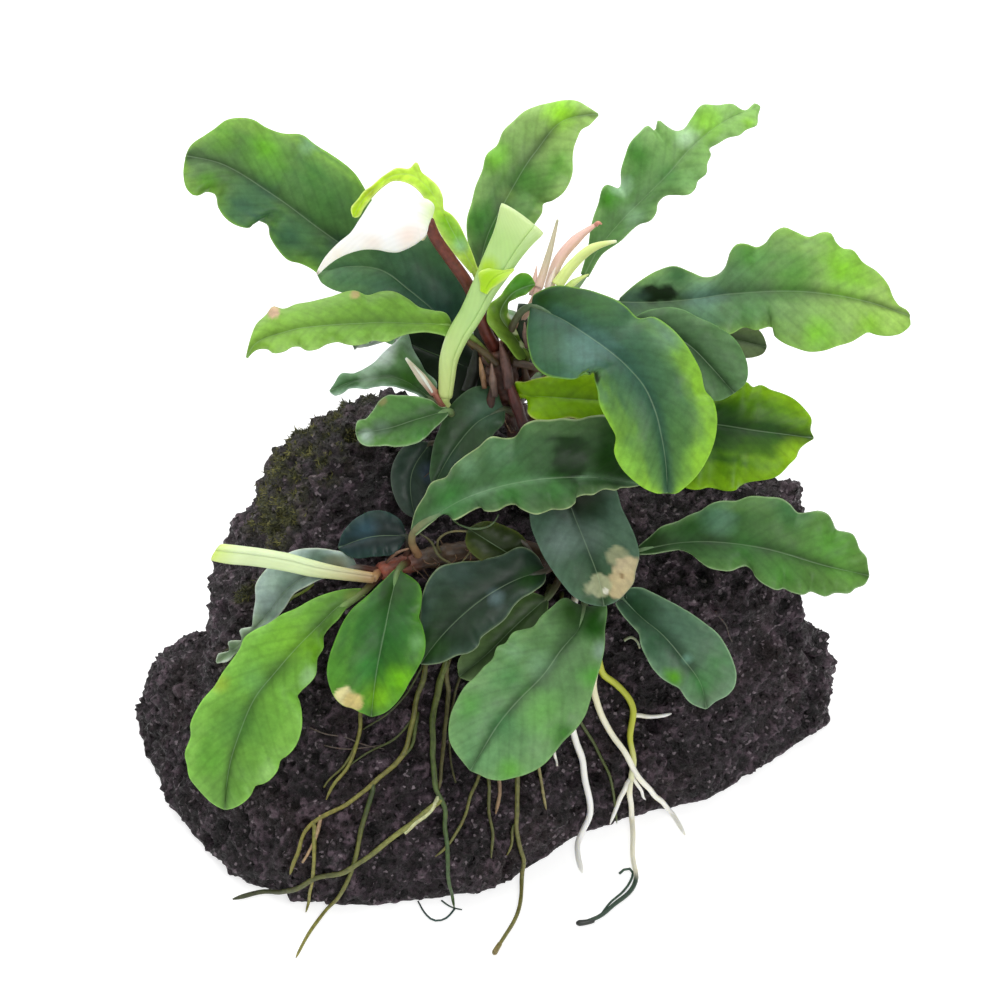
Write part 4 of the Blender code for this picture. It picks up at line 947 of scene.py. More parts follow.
leaves["leaf_wavy"] = dict(
    stem="stem_lower", at=0.2, depth=(35, 40, 37), age="leaf_mid", ruffle=1.3,
    rib=[(-12.3, 32.5), (-9, 35), (-5, 37.3), (0, 39), (5, 40), (10, 40.3), (14, 40.2), (20, 39.3)],
    upper=[(-12, 35.5), (-10.5, 38), (-9.5, 39.6), (-7.8, 40.5), (-7, 41.5), (-5, 43.2), (-3, 44.6),
           (-1, 46), (0.5, 46), (2, 46.3), (3.5, 47.7), (5, 48.3), (7, 48.5), (9, 48.7), (11, 48.6),
           (13, 49), (15, 49), (17, 47.8), (18, 46), (18.3, 44), (18.7, 42), (19.5, 40.7)],
    lower=[(-10.5, 33.2), (-9.3, 34.2), (-8, 35), (-7, 34.7), (-6, 34.2), (-5, 34.7), (-4, 35.6), (-3, 36.1),
           (-2, 35.5), (-1, 35.3), (0, 35.5), (0.8, 36.4), (2, 36.6), (3, 35.8), (4, 35.2), (5.2, 34.8),
           (6.3, 35.3), (7.5, 35.9), (8.5, 35.6), (9.7, 35.7), (10.5, 36.5), (11, 37.6), (12, 37.9),
           (13, 37.7), (14, 38.3), (15, 38.7), (16, 38.3), (17, 38.8), (18.5, 38.9)],
    tones=("#43633f", "#27431e", "#668456", "#93b989"),
    # the crisp dark-green spot at (10, 42.9) and the dark patch at (14.8, 42.4) are a painted shadow, and the
    # pale spot at (-4.6, 42) is a painted sheen
    marks=[(10, 42.9, 2.9, "#0f3400", 1.0, 3), (14.8, 42.4, 3.4, "#1b4000", 0.95),
           (17, 47, 2.6, "#284f1c", 0.7), (-11, 35, 3, "#3c5b34", 0.6), (0, 44.5, 2.8, "#5a8460", 0.4),
           (-7, 36.9, 3, "#35782c", 0.5), (-4.6, 42, 1.8, "#7aa480", 0.35),
           (1.4, 38.2, 2.8, "#3c7a30", 0.45), (8, 38.6, 2.2, "#44803a", 0.4), (3, 48, 1.8, "#3f6f38", 0.5)],
    core=0.55, coreTone="#759876", coreWide=0.75, line="#abbd8a", foot="#8a6a4c",
)
leaves["leaf_spotted"] = dict(
    at=0.1, depth=(30, 36, 38), age="leaf_old",
    rib=[(9, 39.5), (10.5, 35), (12.5, 30), (14, 26), (14.8, 22)],
    upper=[(7, 40.5), (4.8, 38), (4.2, 35), (4.5, 33), (5, 31.5), (6, 29.5), (7.5, 27), (9, 25),
           (10.5, 23.3), (12, 22.5)],
    lower=[(14, 40.5), (16.5, 38.5), (17.3, 36), (18.5, 33.5), (19.5, 31), (19.8, 29), (19.3, 27),
           (19, 25.3), (18, 24), (17, 23)],
    tones=("#475f4f", "#3a5436", "#5c7664", "#8a9a80"),
    # the dark patches at (11, 38) and (13.2, 36.4) are a painted shadow, and the grey-blue spots at (8.5,
    # 31.5) and (12.5, 32) are painted sheen
    marks=[(16.6, 29.3, 1.3, "#8f9472", 0.9, 4), (18, 27.2, 1.5, "#b9ab86", 0.95, 5),
           (17.2, 25, 1.5, "#b0a27c", 0.95, 5), (14.2, 24.9, 1.1, "#949a78", 0.95, 4),
           (15, 24.2, 0.3, "#d6d6c4", 0.9, 3), (17.3, 26.3, 0.25, "#7a5c38", 0.7, 3),
           (11, 38, 4.4, "#18260f", 0.95), (8.5, 31.5, 3.2, "#7c9088", 0.6), (12.5, 32, 2.4, "#71857a", 0.5),
           (13.2, 36.4, 2, "#23361c", 0.6)],
)
leaves["leaf_right"] = dict(
    stem="stem_lower", at=1, depth=(33, 36, 34), age="leaf_mid",
    rib=[(19.8, 29.9), (27, 31.1), (32, 31), (37, 30.3), (46, 27.8), (52.5, 26.3)],
    upper=[(20, 30.8), (21.5, 32), (23, 33.2), (25, 34), (27, 35), (28.5, 35.6), (30, 36.5), (31.5, 36.9),
           (33.5, 37), (35.5, 37.6), (38, 37.5), (40, 37.2), (41.2, 36.5), (42.5, 35.4), (44, 35.4),
           (45.2, 35.5), (46.5, 35), (47.3, 34), (48, 32.9), (49, 32.6), (50, 32.2), (50.5, 31.5),
           (51.2, 30), (52, 29), (52.3, 27.8)],
    lower=[(22, 29.4), (24, 29.8), (25.5, 30), (27, 29.5), (28.5, 28.3), (29.8, 27.4), (31, 27.1), (33, 27),
           (34, 27.6), (35, 27.9), (35.8, 27.3), (36.4, 26), (38, 24.7), (39.5, 24.2), (40.3, 24.6),
           (41.5, 23.9), (43, 23.5), (44.3, 24.2), (46, 23.2), (47.7, 23.9), (49.5, 23.7), (50.5, 24.5),
           (51.8, 25)],
    tones=("#43663a", "#577e3a", "#668c4c", "#9ec294"),
    # the grey-green spot at (31, 34.6) is a painted sheen
    marks=[(22, 31, 2.5, "#20380e", 0.8), (31, 34.6, 2.6, "#5f8474", 0.5), (27, 33, 2.5, "#2a4f22", 0.6),
           (47, 31, 3.4, "#559636", 0.5), (40, 26.6, 3, "#478630", 0.45), (41.4, 35.8, 3, "#386848", 0.5),
           (35, 30, 2.6, "#3f7a34", 0.4), (49.5, 27, 2, "#6aa548", 0.4)],
    line="#93ac80",
)
leaves["leaf_right_low"] = dict(
    stem="stem_lower", at=0.97, depth=(32, 34, 33), age="leaf_old",
    rib=[(17.5, 23), (20, 20.5), (23, 18), (26, 14.5), (28.5, 11), (29.3, 7.4)],
    upper=[(18, 24.2), (20, 24.6), (21.5, 24), (23.5, 23), (25.5, 22), (27.5, 20.8), (29.5, 19.3), (31, 18),
           (32.3, 16), (33.2, 14), (33.6, 12.3), (33.3, 10.5), (32.5, 9.5), (30.5, 8.3)],
    lower=[(16.5, 22.5), (17.2, 21), (18.5, 19.5), (19.7, 18.2), (20, 16.5), (20.7, 15), (21.5, 13.5),
           (22.7, 12), (24.2, 11), (25.5, 10.3), (26.2, 9.2), (27, 8.3), (28.2, 7.7)],
    tones=("#46644f", "#5e795b", "#6e8f6f", "#86a87c"),
    marks=[(20, 21.5, 2.5, "#1d4223", 0.85), (24.8, 11.9, 1.5, "#4f8a0c", 0.9),
           (18.8, 18, 1, "#8aa27a", 0.6), (28.5, 11, 2.2, "#4d8a4a", 0.6), (22, 17, 2, "#24502f", 0.6),
           (26.6, 14.5, 0.9, "#6f9a84", 0.6), (31, 14, 2.2, "#3f7a3a", 0.5)],
    line="#93b38c",
)
leaves["leaf_front_low"] = dict(
    stem="stem_lower", at=0.9, depth=(33, 39.5, 41), age="leaf_mid",
    rib=[(12, 22), (11.3, 19), (8.5, 15.5), (6, 12), (3, 9), (0, 5.5), (-2.5, 1.5), (-4.2, -1.4)],
    upper=[(9, 23), (7.3, 21.8), (5.8, 20.5), (4.8, 19.2), (3.3, 18.6), (1.7, 18), (0.8, 16.8), (-0.5, 16),
           (-0.9, 14.8), (-2.3, 13.4), (-3.5, 12), (-5, 10.5), (-6.2, 8.5), (-7, 6.5), (-7.3, 4.5),
           (-7.1, 2.7), (-6.3, 1.2), (-5.3, -0.1)],
    lower=[(15.1, 22), (14.9, 19), (14.9, 16.5), (14.3, 13.5), (13.5, 11), (12.8, 8.5), (12, 6.2),
           (10.8, 4.5), (9, 2.8), (7.8, 1.2), (6.2, -0.6), (4, -1.8), (2, -2.4), (0, -2.8), (-1.7, -2.5),
           (-3, -1.9)],
    tones=("#577c4c", "#65905f", "#779c63", "#a3c795"),
    # the pale spots at (14.5, 15.5), (5.2, 13.6) and (2, 15.5) are painted sheen
    marks=[(13.5, 19, 2.5, "#1f4f00", 0.95), (10, 21, 2.3, "#254304", 0.85), (8.8, 4.2, 1.8, "#2c6200", 0.9),
           (14.5, 15.5, 1.5, "#8aa095", 0.6), (1.4, -1.2, 2.1, "#57a010", 0.55),
           (5.2, 13.6, 2, "#8ab48c", 0.4), (2, 15.5, 1.9, "#74a076", 0.4), (13.4, 12, 1.8, "#3f8a08", 0.75),
           (0.4, 5, 2.5, "#356a3c", 0.5), (6, 6.6, 3.2, "#6aa84a", 0.45), (-4.5, 8, 2.2, "#4f9534", 0.5),
           (1.5, 12, 2.4, "#3f7d40", 0.4)],
)
leaves["leaf_oval"] = dict(
    stem="stem_lower", at=0.15, depth=(34, 38, 37), age="leaf_mid",
    rib=[(-14.5, 27), (-15.5, 23), (-16.5, 18), (-17.5, 13), (-18.3, 6.3)],
    upper=[(-18.7, 23.6), (-20, 22.5), (-21.5, 21), (-22.7, 19), (-23.5, 17), (-24.2, 15), (-24.6, 12.5),
           (-24.2, 10.5), (-23.5, 9), (-22.3, 7.9), (-21, 7.5), (-20, 7)],
    lower=[(-12.5, 26), (-11.5, 25), (-11.2, 22), (-11.5, 20.5), (-11, 19), (-10.6, 17), (-10.8, 15),
           (-11.8, 13), (-12.8, 11.3), (-13.8, 9.5), (-15, 8), (-16.5, 6.8)],
    tones=("#36652b", "#4e812e", "#5f9535", "#93b97c"),
    marks=[(-15.5, 24, 3, "#25450a", 0.85), (-16, 18, 4, "#30602c", 0.75),
           (-13.8, 11.6, 2.2, "#6cb000", 0.9), (-22.3, 9.1, 1.1, "#d6cd96", 0.95, 4),
           (-21, 8.2, 1, "#c3b274", 0.95, 4), (-17, 9, 1.8, "#78b41c", 0.8), (-19, 13, 2, "#357a36", 0.5),
           (-23.4, 13, 1.6, "#5c9a3c", 0.5), (-11.8, 17, 1.4, "#78a86a", 0.5)],
)
leaves["leaf_long_left"] = dict(
    stem="stem_lower", at=0.02, depth=(33, 34, 30), age="leaf_mid",
    rib=[(-19.5, 24), (-22.5, 22.3), (-26, 19), (-29, 16), (-32, 12.5), (-34.5, 9.5), (-37, 4), (-38.5, -1),
         (-39.1, -6.9)],
    upper=[(-22, 24.4), (-24.5, 23.8), (-27, 22.8), (-29, 21.7), (-31, 20.8), (-33, 19.5), (-35, 18.5),
           (-36.3, 17.5), (-37, 16), (-38, 14.5), (-39.5, 12.5), (-40.7, 10.5), (-42.2, 8.8), (-43.3, 7),
           (-44, 5.3), (-44, 3.5), (-44.8, 1), (-44.5, -0.5), (-44.2, -2.2), (-43.3, -3.5), (-42.1, -4.9),
           (-41.2, -5.8), (-40.2, -6.5)],
    lower=[(-20.5, 23), (-22, 21.5), (-23, 20), (-24.2, 19), (-25.2, 17.8), (-25.1, 16), (-26, 14.7),
           (-26.2, 12), (-27, 11), (-28.3, 10), (-29, 9.3), (-28.2, 7.2), (-28, 5.8), (-28.3, 3.7),
           (-29.2, 1.8), (-30.2, 0.8), (-31.3, 0), (-31.5, -1.2), (-32.5, -2.5), (-33.8, -3.3), (-35, -3.8),
           (-35.3, -4.7), (-36.2, -5.7), (-37.1, -6.3), (-38.2, -6.8)],
    tones=("#6ca13f", "#679643", "#89bf57", "#a8cc92"),
    marks=[(-26, 15.5, 1.8, "#5f9200", 0.85), (-37, 5, 3.2, "#4f7f3c", 0.6),
           (-21, 23.3, 1.5, "#6b8037", 0.8), (-27, 12, 1.3, "#a9cf9a", 0.5), (-30, 17.5, 3, "#7cb62f", 0.5),
           (-40, 11, 1.6, "#9cb23a", 0.6), (-33, -1.5, 1.4, "#9ac477", 0.5), (-41, 0, 2.4, "#5f9f38", 0.5),
           (-35, 11.5, 2, "#6a9f58", 0.5)],
)
leaves["leaf_dark_centre"] = dict(
    stem="stem_lower", at=0.8, depth=(32, 35, 35), age="leaf_old", ruffle=1.3,
    rib=[(6.3, 27), (3, 26), (-1, 24), (-5, 21), (-8.5, 17.5), (-11.3, 13.8)],
    upper=[(5.5, 28.8), (3, 30.3), (0, 29.2), (-3, 28.5), (-6, 28.2), (-8.5, 27.5), (-10, 26), (-11, 23.5),
           (-11.3, 20.5), (-11.5, 17), (-12, 14.7)],
    lower=[(6.5, 26), (4.5, 23.8), (3, 23), (2, 22), (1, 20.5), (-0.3, 19.3), (-1.5, 18.5), (-2.8, 17.3),
           (-3, 16.3), (-4.3, 15.3), (-6, 15), (-7.5, 14.3), (-9, 13.8)],
    tones=("#283a2e", "#283f20", "#4d6057", "#5c6f60"),
    # the grey spots at (-6, 27) and (-0.7, 23.4) are painted sheen
    marks=[(-6, 27, 2.5, "#3b5048", 0.5), (-5, 18, 2.5, "#203424", 0.6), (-0.7, 23.4, 1.1, "#6f878a", 0.45),
           (4, 25.6, 2.2, "#2c4a1e", 0.7), (-9.5, 16, 2, "#35522c", 0.5)],
    line="#879a76",
)
leaves["leaf_dark_low"] = dict(
    stem="stem_lower", at=0.85, depth=(31, 32, 31), age="leaf_old",
    rib=[(6.5, 23), (2, 19), (-2, 15), (-5.8, 12)],
    upper=[(4, 24), (-0.5, 20.5), (-4, 16.8), (-6, 13.8)], lower=[(6.5, 20), (3.5, 15.8), (-0.5, 12.5),
                                                                  (-4, 11.3)],
    tones=("#4c6538", "#5a7149", "#7d9762", "#62735a"),
)
leaves["leaf_grey_left"] = dict(
    stem="stem_lower", at=0, depth=(30.5, 30.5, 26), age="leaf_old",
    rib=[(-20.5, 27.5), (-25, 27), (-29.5, 25), (-33, 21), (-36, 17.5), (-40.3, 14)],
    upper=[(-21, 29), (-24, 30), (-28.5, 30), (-31.5, 28.8), (-33.3, 27.2), (-34.7, 25.2), (-35, 22.5),
           (-35.2, 20.5), (-35.4, 19.2), (-36.7, 18.7), (-36.8, 17.3), (-38.3, 17), (-38.7, 15.7),
           (-40, 15.2)],
    lower=[(-20, 26), (-22, 26), (-25, 26), (-27, 25), (-29.5, 23.5), (-30.7, 21.7), (-31.8, 20.2),
           (-33.8, 18.6), (-35.3, 17.6), (-35.8, 16.3), (-37.5, 15.9), (-37.9, 14.6), (-39.3, 14)],
    tones=("#8fa69a", "#b1ca9c", "#d6e7e9", "#9aab9c"),
    marks=[(-33.3, 23, 2.5, "#8c9f9c", 0.7), (-26, 29, 3, "#3f5744", 0.8), (-23, 27.5, 2, "#6a5f34", 0.5),
           (-38.5, 15.6, 1.8, "#6b8464", 0.8), (-30.5, 25.5, 1.2, "#5f786a", 0.5),
           (-32.4, 20.6, 1, "#5f786a", 0.5)],
    line="#c3cfba", ruffle=1.4,
)
leaves["leaf_dark_small"] = dict(
    stem="stem_lower", at=0.12, depth=(31, 31, 30.5), age="leaf_old",
    rib=[(-13.5, 32), (-18.5, 31.8), (-23, 30.3)],
    upper=[(-14, 34), (-17, 35.6), (-20, 34.8), (-22.3, 32.5)], lower=[(-15, 29.5), (-18, 29), (-21, 28.9)],
    tones=("#1f302f", "#22383a", "#354c46", "#4f5c44"),
    core=0.2,
    marks=[(-19, 33, 2, "#3a5560", 0.6)],
)
leaves["leaf_olive"] = dict(
    stem="stem_lower", at=0.6, depth=(31, 33, 33), age="leaf_mid",
    rib=[(3, 28.5), (-0.5, 30.5), (-4.5, 33)],
    upper=[(3.5, 31.5), (1, 33.3), (-2.5, 34)], lower=[(0.5, 27.5), (-2.8, 28.5), (-4.9, 31)],
    tones=("#2f3912", "#333f16", "#56602a", "#8a9658"),
    core=0.3,
)
leaves["leaf_back_right"] = dict(
    at=0.6, width=12, face=(0, 1, 0.4), age="leaf_old",
    spine=[(5.5, 55, 15), (14, 58, 2), (22, 53, -12)],
    tones=("#46694a", "#56824c", "#6d965f", "#86a87c"),
)
leaves["leaf_back_left"] = dict(
    at=0.75, width=12, face=(0, 1, 0.4), age="leaf_old",
    spine=[(-4.5, 57, 15), (-12, 61, 2), (-19, 59, -11)],
    tones=("#42654a", "#527d4a", "#6a935c", "#84a67a"),
)
leaves["leaf_back"] = dict(
    at=0.9, width=11, face=(0, 1, 0.4), age="leaf_mid",
    spine=[(1, 60, 16), (2.5, 63.5, 2), (4.5, 61, -15)],
    tones=("#55823f", "#6d9f48", "#82b35a", "#9cc084"),
)


def turned(direction):
    a, u, t = direction
    return unit(np.array(acrossWay * a + upWay * u + towardWay * t))


def between(values, share):
    # a smooth curve over the values at the neck, the middle and the tip
    first, middle, last = values
    return (first * (1 - share) * (1 - 2 * share) + middle * 4 * share * (1 - share)
            + last * share * (2 * share - 1))


def tracedLines(spec):
    # rib and margins in world millimetres from the seen outlines, and the margins' waviness
    rib = smoothLine(spec["rib"], spec["rows"])
    depth = between(spec["depth"], np.linspace(0, 1, spec["rows"]))
    faceAcross, faceUp, faceToward = spec["face"]
    way = unit(np.gradient(rib, axis=0))
    side = np.stack([-way[:, 1], way[:, 0]], 1)
    lines, waves = [np.column_stack([rib, depth])], []
    for key in ("upper", "lower"):
        turn = np.sign(np.sum((np.array(spec[key]).mean(0) - rib.mean(0)) * side.mean(0)))
        first = rib[0] + side[0] * turn * spec["neckHalf"]
        last = rib[-1] + side[-1] * turn * spec["tipHalf"]
        margin = smoothLine([first] + list(spec[key]) + [last], spec["rows"])
        off = margin - rib
        tilt = -(faceAcross * off[:, 0] + faceUp * off[:, 1]) / faceToward
        lines.append(np.column_stack([margin, depth + tilt]))
        wide = np.linalg.norm(off, axis=1)
        waves.append(wide - evened(wide, spec["calm"]))
    return [seen(line) for line in lines], waves


def grownLines(spec, number):
    # rib and margins of a leaf that the photo's side doesn't show, by its width
    rib = smoothLine(seen(spec["spine"]), spec["rows"])
    share = np.linspace(0, 1, spec["rows"])
    way = unit(np.gradient(rib, axis=0))
    face = turned(spec["face"])
    normal = unit(face - way * (way @ face)[:, None])
    side = np.cross(way, normal)
    body = np.maximum(share**0.62 * (1 - share) ** 0.45, 0) / (0.58**0.62 * 0.42**0.45)
    lines, waves = [rib], []
    for k, turn in enumerate((-1, 1)):
        wobble = 0.09 * wave(number * 5 + k, share * 9) + 0.06 * np.sin(share * 26 + number + k * 2)
        half = np.maximum(spec["width"] / 2 * body * (1 + wobble), 0.15)
        lines.append(rib + side * half[:, None] * turn)
        waves.append(spec["width"] / 2 * wobble * body)
    return lines, waves


def thickSheet(surface, normal, up, down):
    # a closed solid from a grid of points, up above it and down below it
    rows, cols = surface.shape[:2]
    top = surface + normal * up[..., None]
    bottom = surface - normal * down[..., None]
    index = np.arange(rows * cols).reshape(rows, cols)
    quads = np.stack([index[:-1, :-1], index[:-1, 1:], index[1:, 1:], index[1:, :-1]], -1).reshape(-1, 4)
    low = quads[:, ::-1] + rows * cols
    ring = np.concatenate([index[0, :], index[1:, -1], index[-1, -2::-1], index[-2:0:-1, 0]])
    onward = np.roll(ring, -1)
    band = np.stack([ring, ring + rows * cols, onward + rows * cols, onward], -1)
    faces = [tuple(f) for f in np.concatenate([quads, low, band])]
    return top, np.concatenate([top.reshape(-1, 3), bottom.reshape(-1, 3)]), faces


def sheetNormals(surface, towards):
    normal = unit(np.cross(np.gradient(surface, axis=0), np.gradient(surface, axis=1)))
    middle = normal[surface.shape[0] // 2, surface.shape[1] // 2]
    return -normal if middle @ towards < 0 else normal


def leafTone(hexColour):
    # a leaf's own colour, without the pale veil that its gloss lays over it
    own = linear(hexColour)
    return np.maximum(own - bladeLook["veil"], own * 0.55)


def seenAway(points, across, up, depth):
    # how far from a place of the photo each point is seen
    away = points - seen([(across, up, depth)])[0]
    away = away - (away @ towardWay)[..., None] * towardWay
    return np.linalg.norm(away, axis=-1)


def bladeTones(b, number, along, reach, fromRib, wide, swell, top):
    # the colour of each point: dark along the rib, brighter and yellower toward the margin, which is partly
    # the margin's own colour and partly painted light shining through the thin blade
    rows, cols = reach.shape
    down = np.linspace(0, 1, rows)[:, None]
    tone, tip, edge = (leafTone(c) for c in b["tones"][:3])
    streak = np.array([[noise.noise((far / b["streakLong"], side / b["streakWide"], number * 2.1))
                        for side in row] for far, row in zip(along, reach)])
    colours = tone + (tip - tone) * np.clip((down - b["tipFrom"]) / b["tipOver"], 0, 1)[..., None] ** 1.2
    colours = np.broadcast_to(colours, (rows, cols, 3)).copy()

    def wash(amount, colour):
        colours[:] = colours + (colour - colours) * np.clip(amount, 0, 1)[..., None]

    # brighter and yellower toward the margin: partly its own colour, partly painted light shining through the
    # thin edge
    out = np.clip((fromRib - b["edgeFrom"] + 0.25 * streak + 0.2 * (down - 0.5)) / 0.5, 0, 1)
    wash(b["rim"] * np.clip((down - b["edgeStart"]) / b["runOver"], 0, 1) * out**1.4, edge)
    coreWide = b["coreWide"] * (1.15 - 0.75 * down)
    wash(b["core"] * np.exp(-((reach * (1 + 0.5 * streak) / coreWide) ** 2)), leafTone(b["coreTone"]))
    # the marks are the leaf's own spots, and also painted sheen and painted shadow where a leaf says so
    for across, up, markReach, colour, strength, *crisp in b["marks"]:
        near = seenAway(top, across, up, b["depth"][1]) / markReach * (1 + 0.5 * swell + 0.3 * streak)
        wash(strength * np.clip((1.25 - near) * (crisp[0] if crisp else 1), 0, 1), leafTone(colour))
    fromEdge = np.where(np.arange(cols) < cols // 2, wide[0][:, None], wide[1][:, None]) * (1 - fromRib)
    border = leafTone(b["line"]) if "line" in b else edge * 1.3 + 0.01
    wash((0.9 if "line" in b else 0.5) * np.clip(1 - fromEdge / b["lineWide"], 0, 1), border)
    under = leafTone(b["under"]) if "under" in b else tone * 0.6 + edge * 0.35 + 0.02
    return np.concatenate([colours.reshape(-1, 3), np.broadcast_to(under, (rows * cols, 3))])


def bladePart(spec, number):
    # the blade as a closed sheet, and its rib
    b = {**bladeLook, **spec}
    rows, half = b["rows"], b["half"]
    (rib, *margins), waves = grownLines(b, number) if "spine" in b else tracedLines(b)
    share = np.linspace(0, 1, rows)
    along = runOf(rib)
    x = (1 - np.cos(np.linspace(0, np.pi, half + 1))) / 2
    x = 0.5 * x + 0.5 * np.linspace(0, 1, half + 1)
    # each column of the sheet is on one side of the rib, at a share of the way to that margin
    columns = [(0, s) for s in x[:0:-1]] + [(1, s) for s in x]
    fromRib = np.array([s for _, s in columns])
    wide = [np.linalg.norm(margin - rib, axis=1) for margin in margins]
    grid = np.stack([rib + (margins[k] - rib) * s for k, s in columns], 1)
    reach = np.stack([wide[k] * s * (2 * k - 1) for k, s in columns], 1)
    middle = turned(b["face"])
    normal = sheetNormals(grid, middle)
    lift = np.zeros(grid.shape[:2])
    rolls = [wave(number * 7 + k + 40, share * b["rollPitch"]) for k in range(2)]
    for j, (k, s) in enumerate(columns):
        rolling = b["roll"] * b["ruffle"] * rolls[k] * np.minimum(share * 5, 1)
        lift[:, j] += b["bulge"] * wide[k] * 4 * s * (1 - s)
        lift[:, j] += s ** b["ruffleCurve"] * (b["ruffle"] * b["ruffleHigh"] * waves[k] + rolling)
        if not b["plain"]:
            slant = along - b["veinSlant"] * wide[k] * s
            quilt = np.cos(2 * np.pi * slant / b["veinGap"]) * np.sin(np.pi * min(s * 1.2, 1))
            lift[:, j] -= b["quilt"] * quilt
            lift[:, j] -= b["groove"] * np.exp(-((wide[k] * s / b["grooveWide"]) ** 2))
        lift[:, j] -= b["cup"] * wide[k] * (1 - np.sqrt(1 - 0.96 * s * s))
    swell = np.array([[noise.noise(Vector(p) / b["swellSize"] + Vector((number, 0, 0))) for p in row]
                      for row in grid])
    lift += b["swell"] * swell
    ends = np.clip(np.minimum(share * b["flatNeck"], (1 - share) * b["flatTip"]), 0, 1)[:, None]
    surface = grid + normal * (lift * ends)[..., None]
    fresh = sheetNormals(surface, middle)
    fresh = fresh * np.sign(np.sum(fresh * normal, axis=2, keepdims=True))
    normal = unit(fresh + normal * 0.3)
    thick = b["thin"] + (b["thick"] - b["thin"]) * (1 - fromRib**5)[None, :] * np.ones((rows, 1))
    thick[-1] = b["thin"]
    keel = b["keel"] * np.exp(-((reach / b["keelWide"]) ** 2)) * (1 - share[:, None] ** 2)
    if b["plain"]:
        keel = 0
    top, points, faces = thickSheet(surface, normal, thick / 2, thick / 2 + keel)
    tones = bladeTones(b, number, along, reach, fromRib, wide, swell, top)
    slanted = along[:, None] - b["veinSlant"] * np.abs(reach)
    place = np.stack([reach, slanted], -1).reshape(-1, 2)
    return (points, faces, tones, np.concatenate([place, place])), rib


def stalkPart(spec, rib, number):
    # the leaf's stalk from the stem to the blade, running on as the keel of its underside
    b = {**bladeLook, **spec}
    keelFar = int(b["rows"] * b["keelReach"])
    back = turned(b["face"]) * b["stalkSink"]
    ahead = [rib[k] + back * (0.6 if k == 0 else 1) for k in (0, keelFar // 2, keelFar)]
    path = smoothLine([stemPlace(b["stem"], b["at"])] + ahead, b["stalkPoints"])
    share = np.linspace(0, 1, b["stalkPoints"])
    radii = b["stalk"] * (1 - b["taper"] * np.clip((share - 0.45) / 0.55, 0, 1))
    radii *= 1 + b["footHigh"] * np.exp(-share * 9) + 0.06 * wave(number + 60, share * 8)
    foot = linear(b["foot"])
    pale = linear(b["tones"][0]) * 0.7 + linear(b["tones"][3]) * 0.3
    tones = foot + (pale - foot) * np.clip((share - 0.15) / 0.5, 0, 1)[:, None]
    return tubePart(path, radii, b["stalkSides"], tones)


def makeLeaves():
    for number, (name, spec) in enumerate(leaves.items()):
        blade, rib = bladePart(spec, number)
        made = piece(joinedWords(name), [blade, stalkPart(spec, rib, number)], leafSkin)
        closeUp(made)
        handOver(made, name)
    print("leaves made:", len(leaves))


makeLeaves()


# The flowers. The white hood arches over its spike, the green one is rolled up, and the cream one
# is a bud that is still closed. Sheaths are the thin scales beside the youngest leaves.

whiteHood = dict(
    depth=(40.5, 42.5, 40), face=(0, 0.2, 1), bulge=0.0, ruffle=0.2, cup=0.6, plain=True, core=0, rim=0.35,
    rib=[(-9.9, 77), (-13, 78.3), (-17, 77.3), (-20.5, 75.2), (-23.5, 72.4), (-26, 69.2)],
    upper=[(-9.3, 79), (-10, 79.8), (-11, 80.2), (-12, 81.3), (-13, 82.2), (-15, 82.4), (-17, 81.7),
           (-18.5, 80.2), (-20, 77.8), (-21, 76), (-23, 74), (-25, 71.5)],
    lower=[(-10.1, 75.2), (-11, 74.4), (-12.5, 73.7), (-14.5, 73), (-16, 72.9), (-18, 73), (-20, 72.8),
           (-22, 72.1), (-24, 70.9)],
    tones=("#f7f6f2", "#f5f1e6", "#f0efe2", "#f2f3e6"), under="#f4f2e8",
    marks=[(-26, 69.3, 0.5, "#4a3a2a", 0.95), (-9.2, 78.2, 2, "#cfe6a2", 0.9),
           (-10.8, 80.2, 1.2, "#d9ecb8", 0.7), (-13, 74.6, 1.8, "#f6dccf", 0.7),
           (-18, 73.6, 1.5, "#f3e2d4", 0.6), (-23, 71.6, 1.2, "#f1e6cf", 0.5)],
)

rolls = {}
rolls["spathe_green"] = dict(
    slot="petal_green", stem="stem_side", at=1, stalk=0.8, lead=[(-8, 51, 31)],
    line=[(-7.8, 52, 32), (-7.6, 54.5, 33.8), (-7.3, 57.2, 35.6), (-6.2, 60.2, 37.2), (-4.1, 63.7, 38.6),
          (-2.4, 67.1, 39.8), (-1.1, 69.5, 40.5), (0.2, 71.9, 41.1), (1.4, 74, 41.6), (2.4, 75.8, 41.9),
          (3.5, 77.8, 42.2)],
    wide=[0.85, 1.0, 1.15, 1.35, 1.45, 1.6, 1.95, 2.15, 2.45, 2.9, 3.55], flat=0.55,
    start=-5.9, turn=6.9, growth=0.2, mouth=0.05, mouthAt=2.2,
    tones=("#d2e48a", "#b0d682", "#c6e29a"), stalkTone="#d2e48a", mark=(-1.6, 68.3, 1.3, "#a9d410", 0.9),
    lip=dict(depth=(41.3, 42.2, 41.8), face=(-0.2, 0.1, 1), bulge=0.1, ruffle=0.2, plain=True,
             core=0, rim=0.3,
             rib=[(-2.3, 66.6), (-1.2, 68.4), (2, 69.9)],
             upper=[(-2.9, 67.8), (-3, 69.4), (-1.8, 70), (0.3, 69.8)],
             lower=[(-1.5, 66.8), (-0.3, 67.8), (0.8, 68.6)],
             tones=("#a6d40e", "#b4d84a", "#cfe37e")),
)
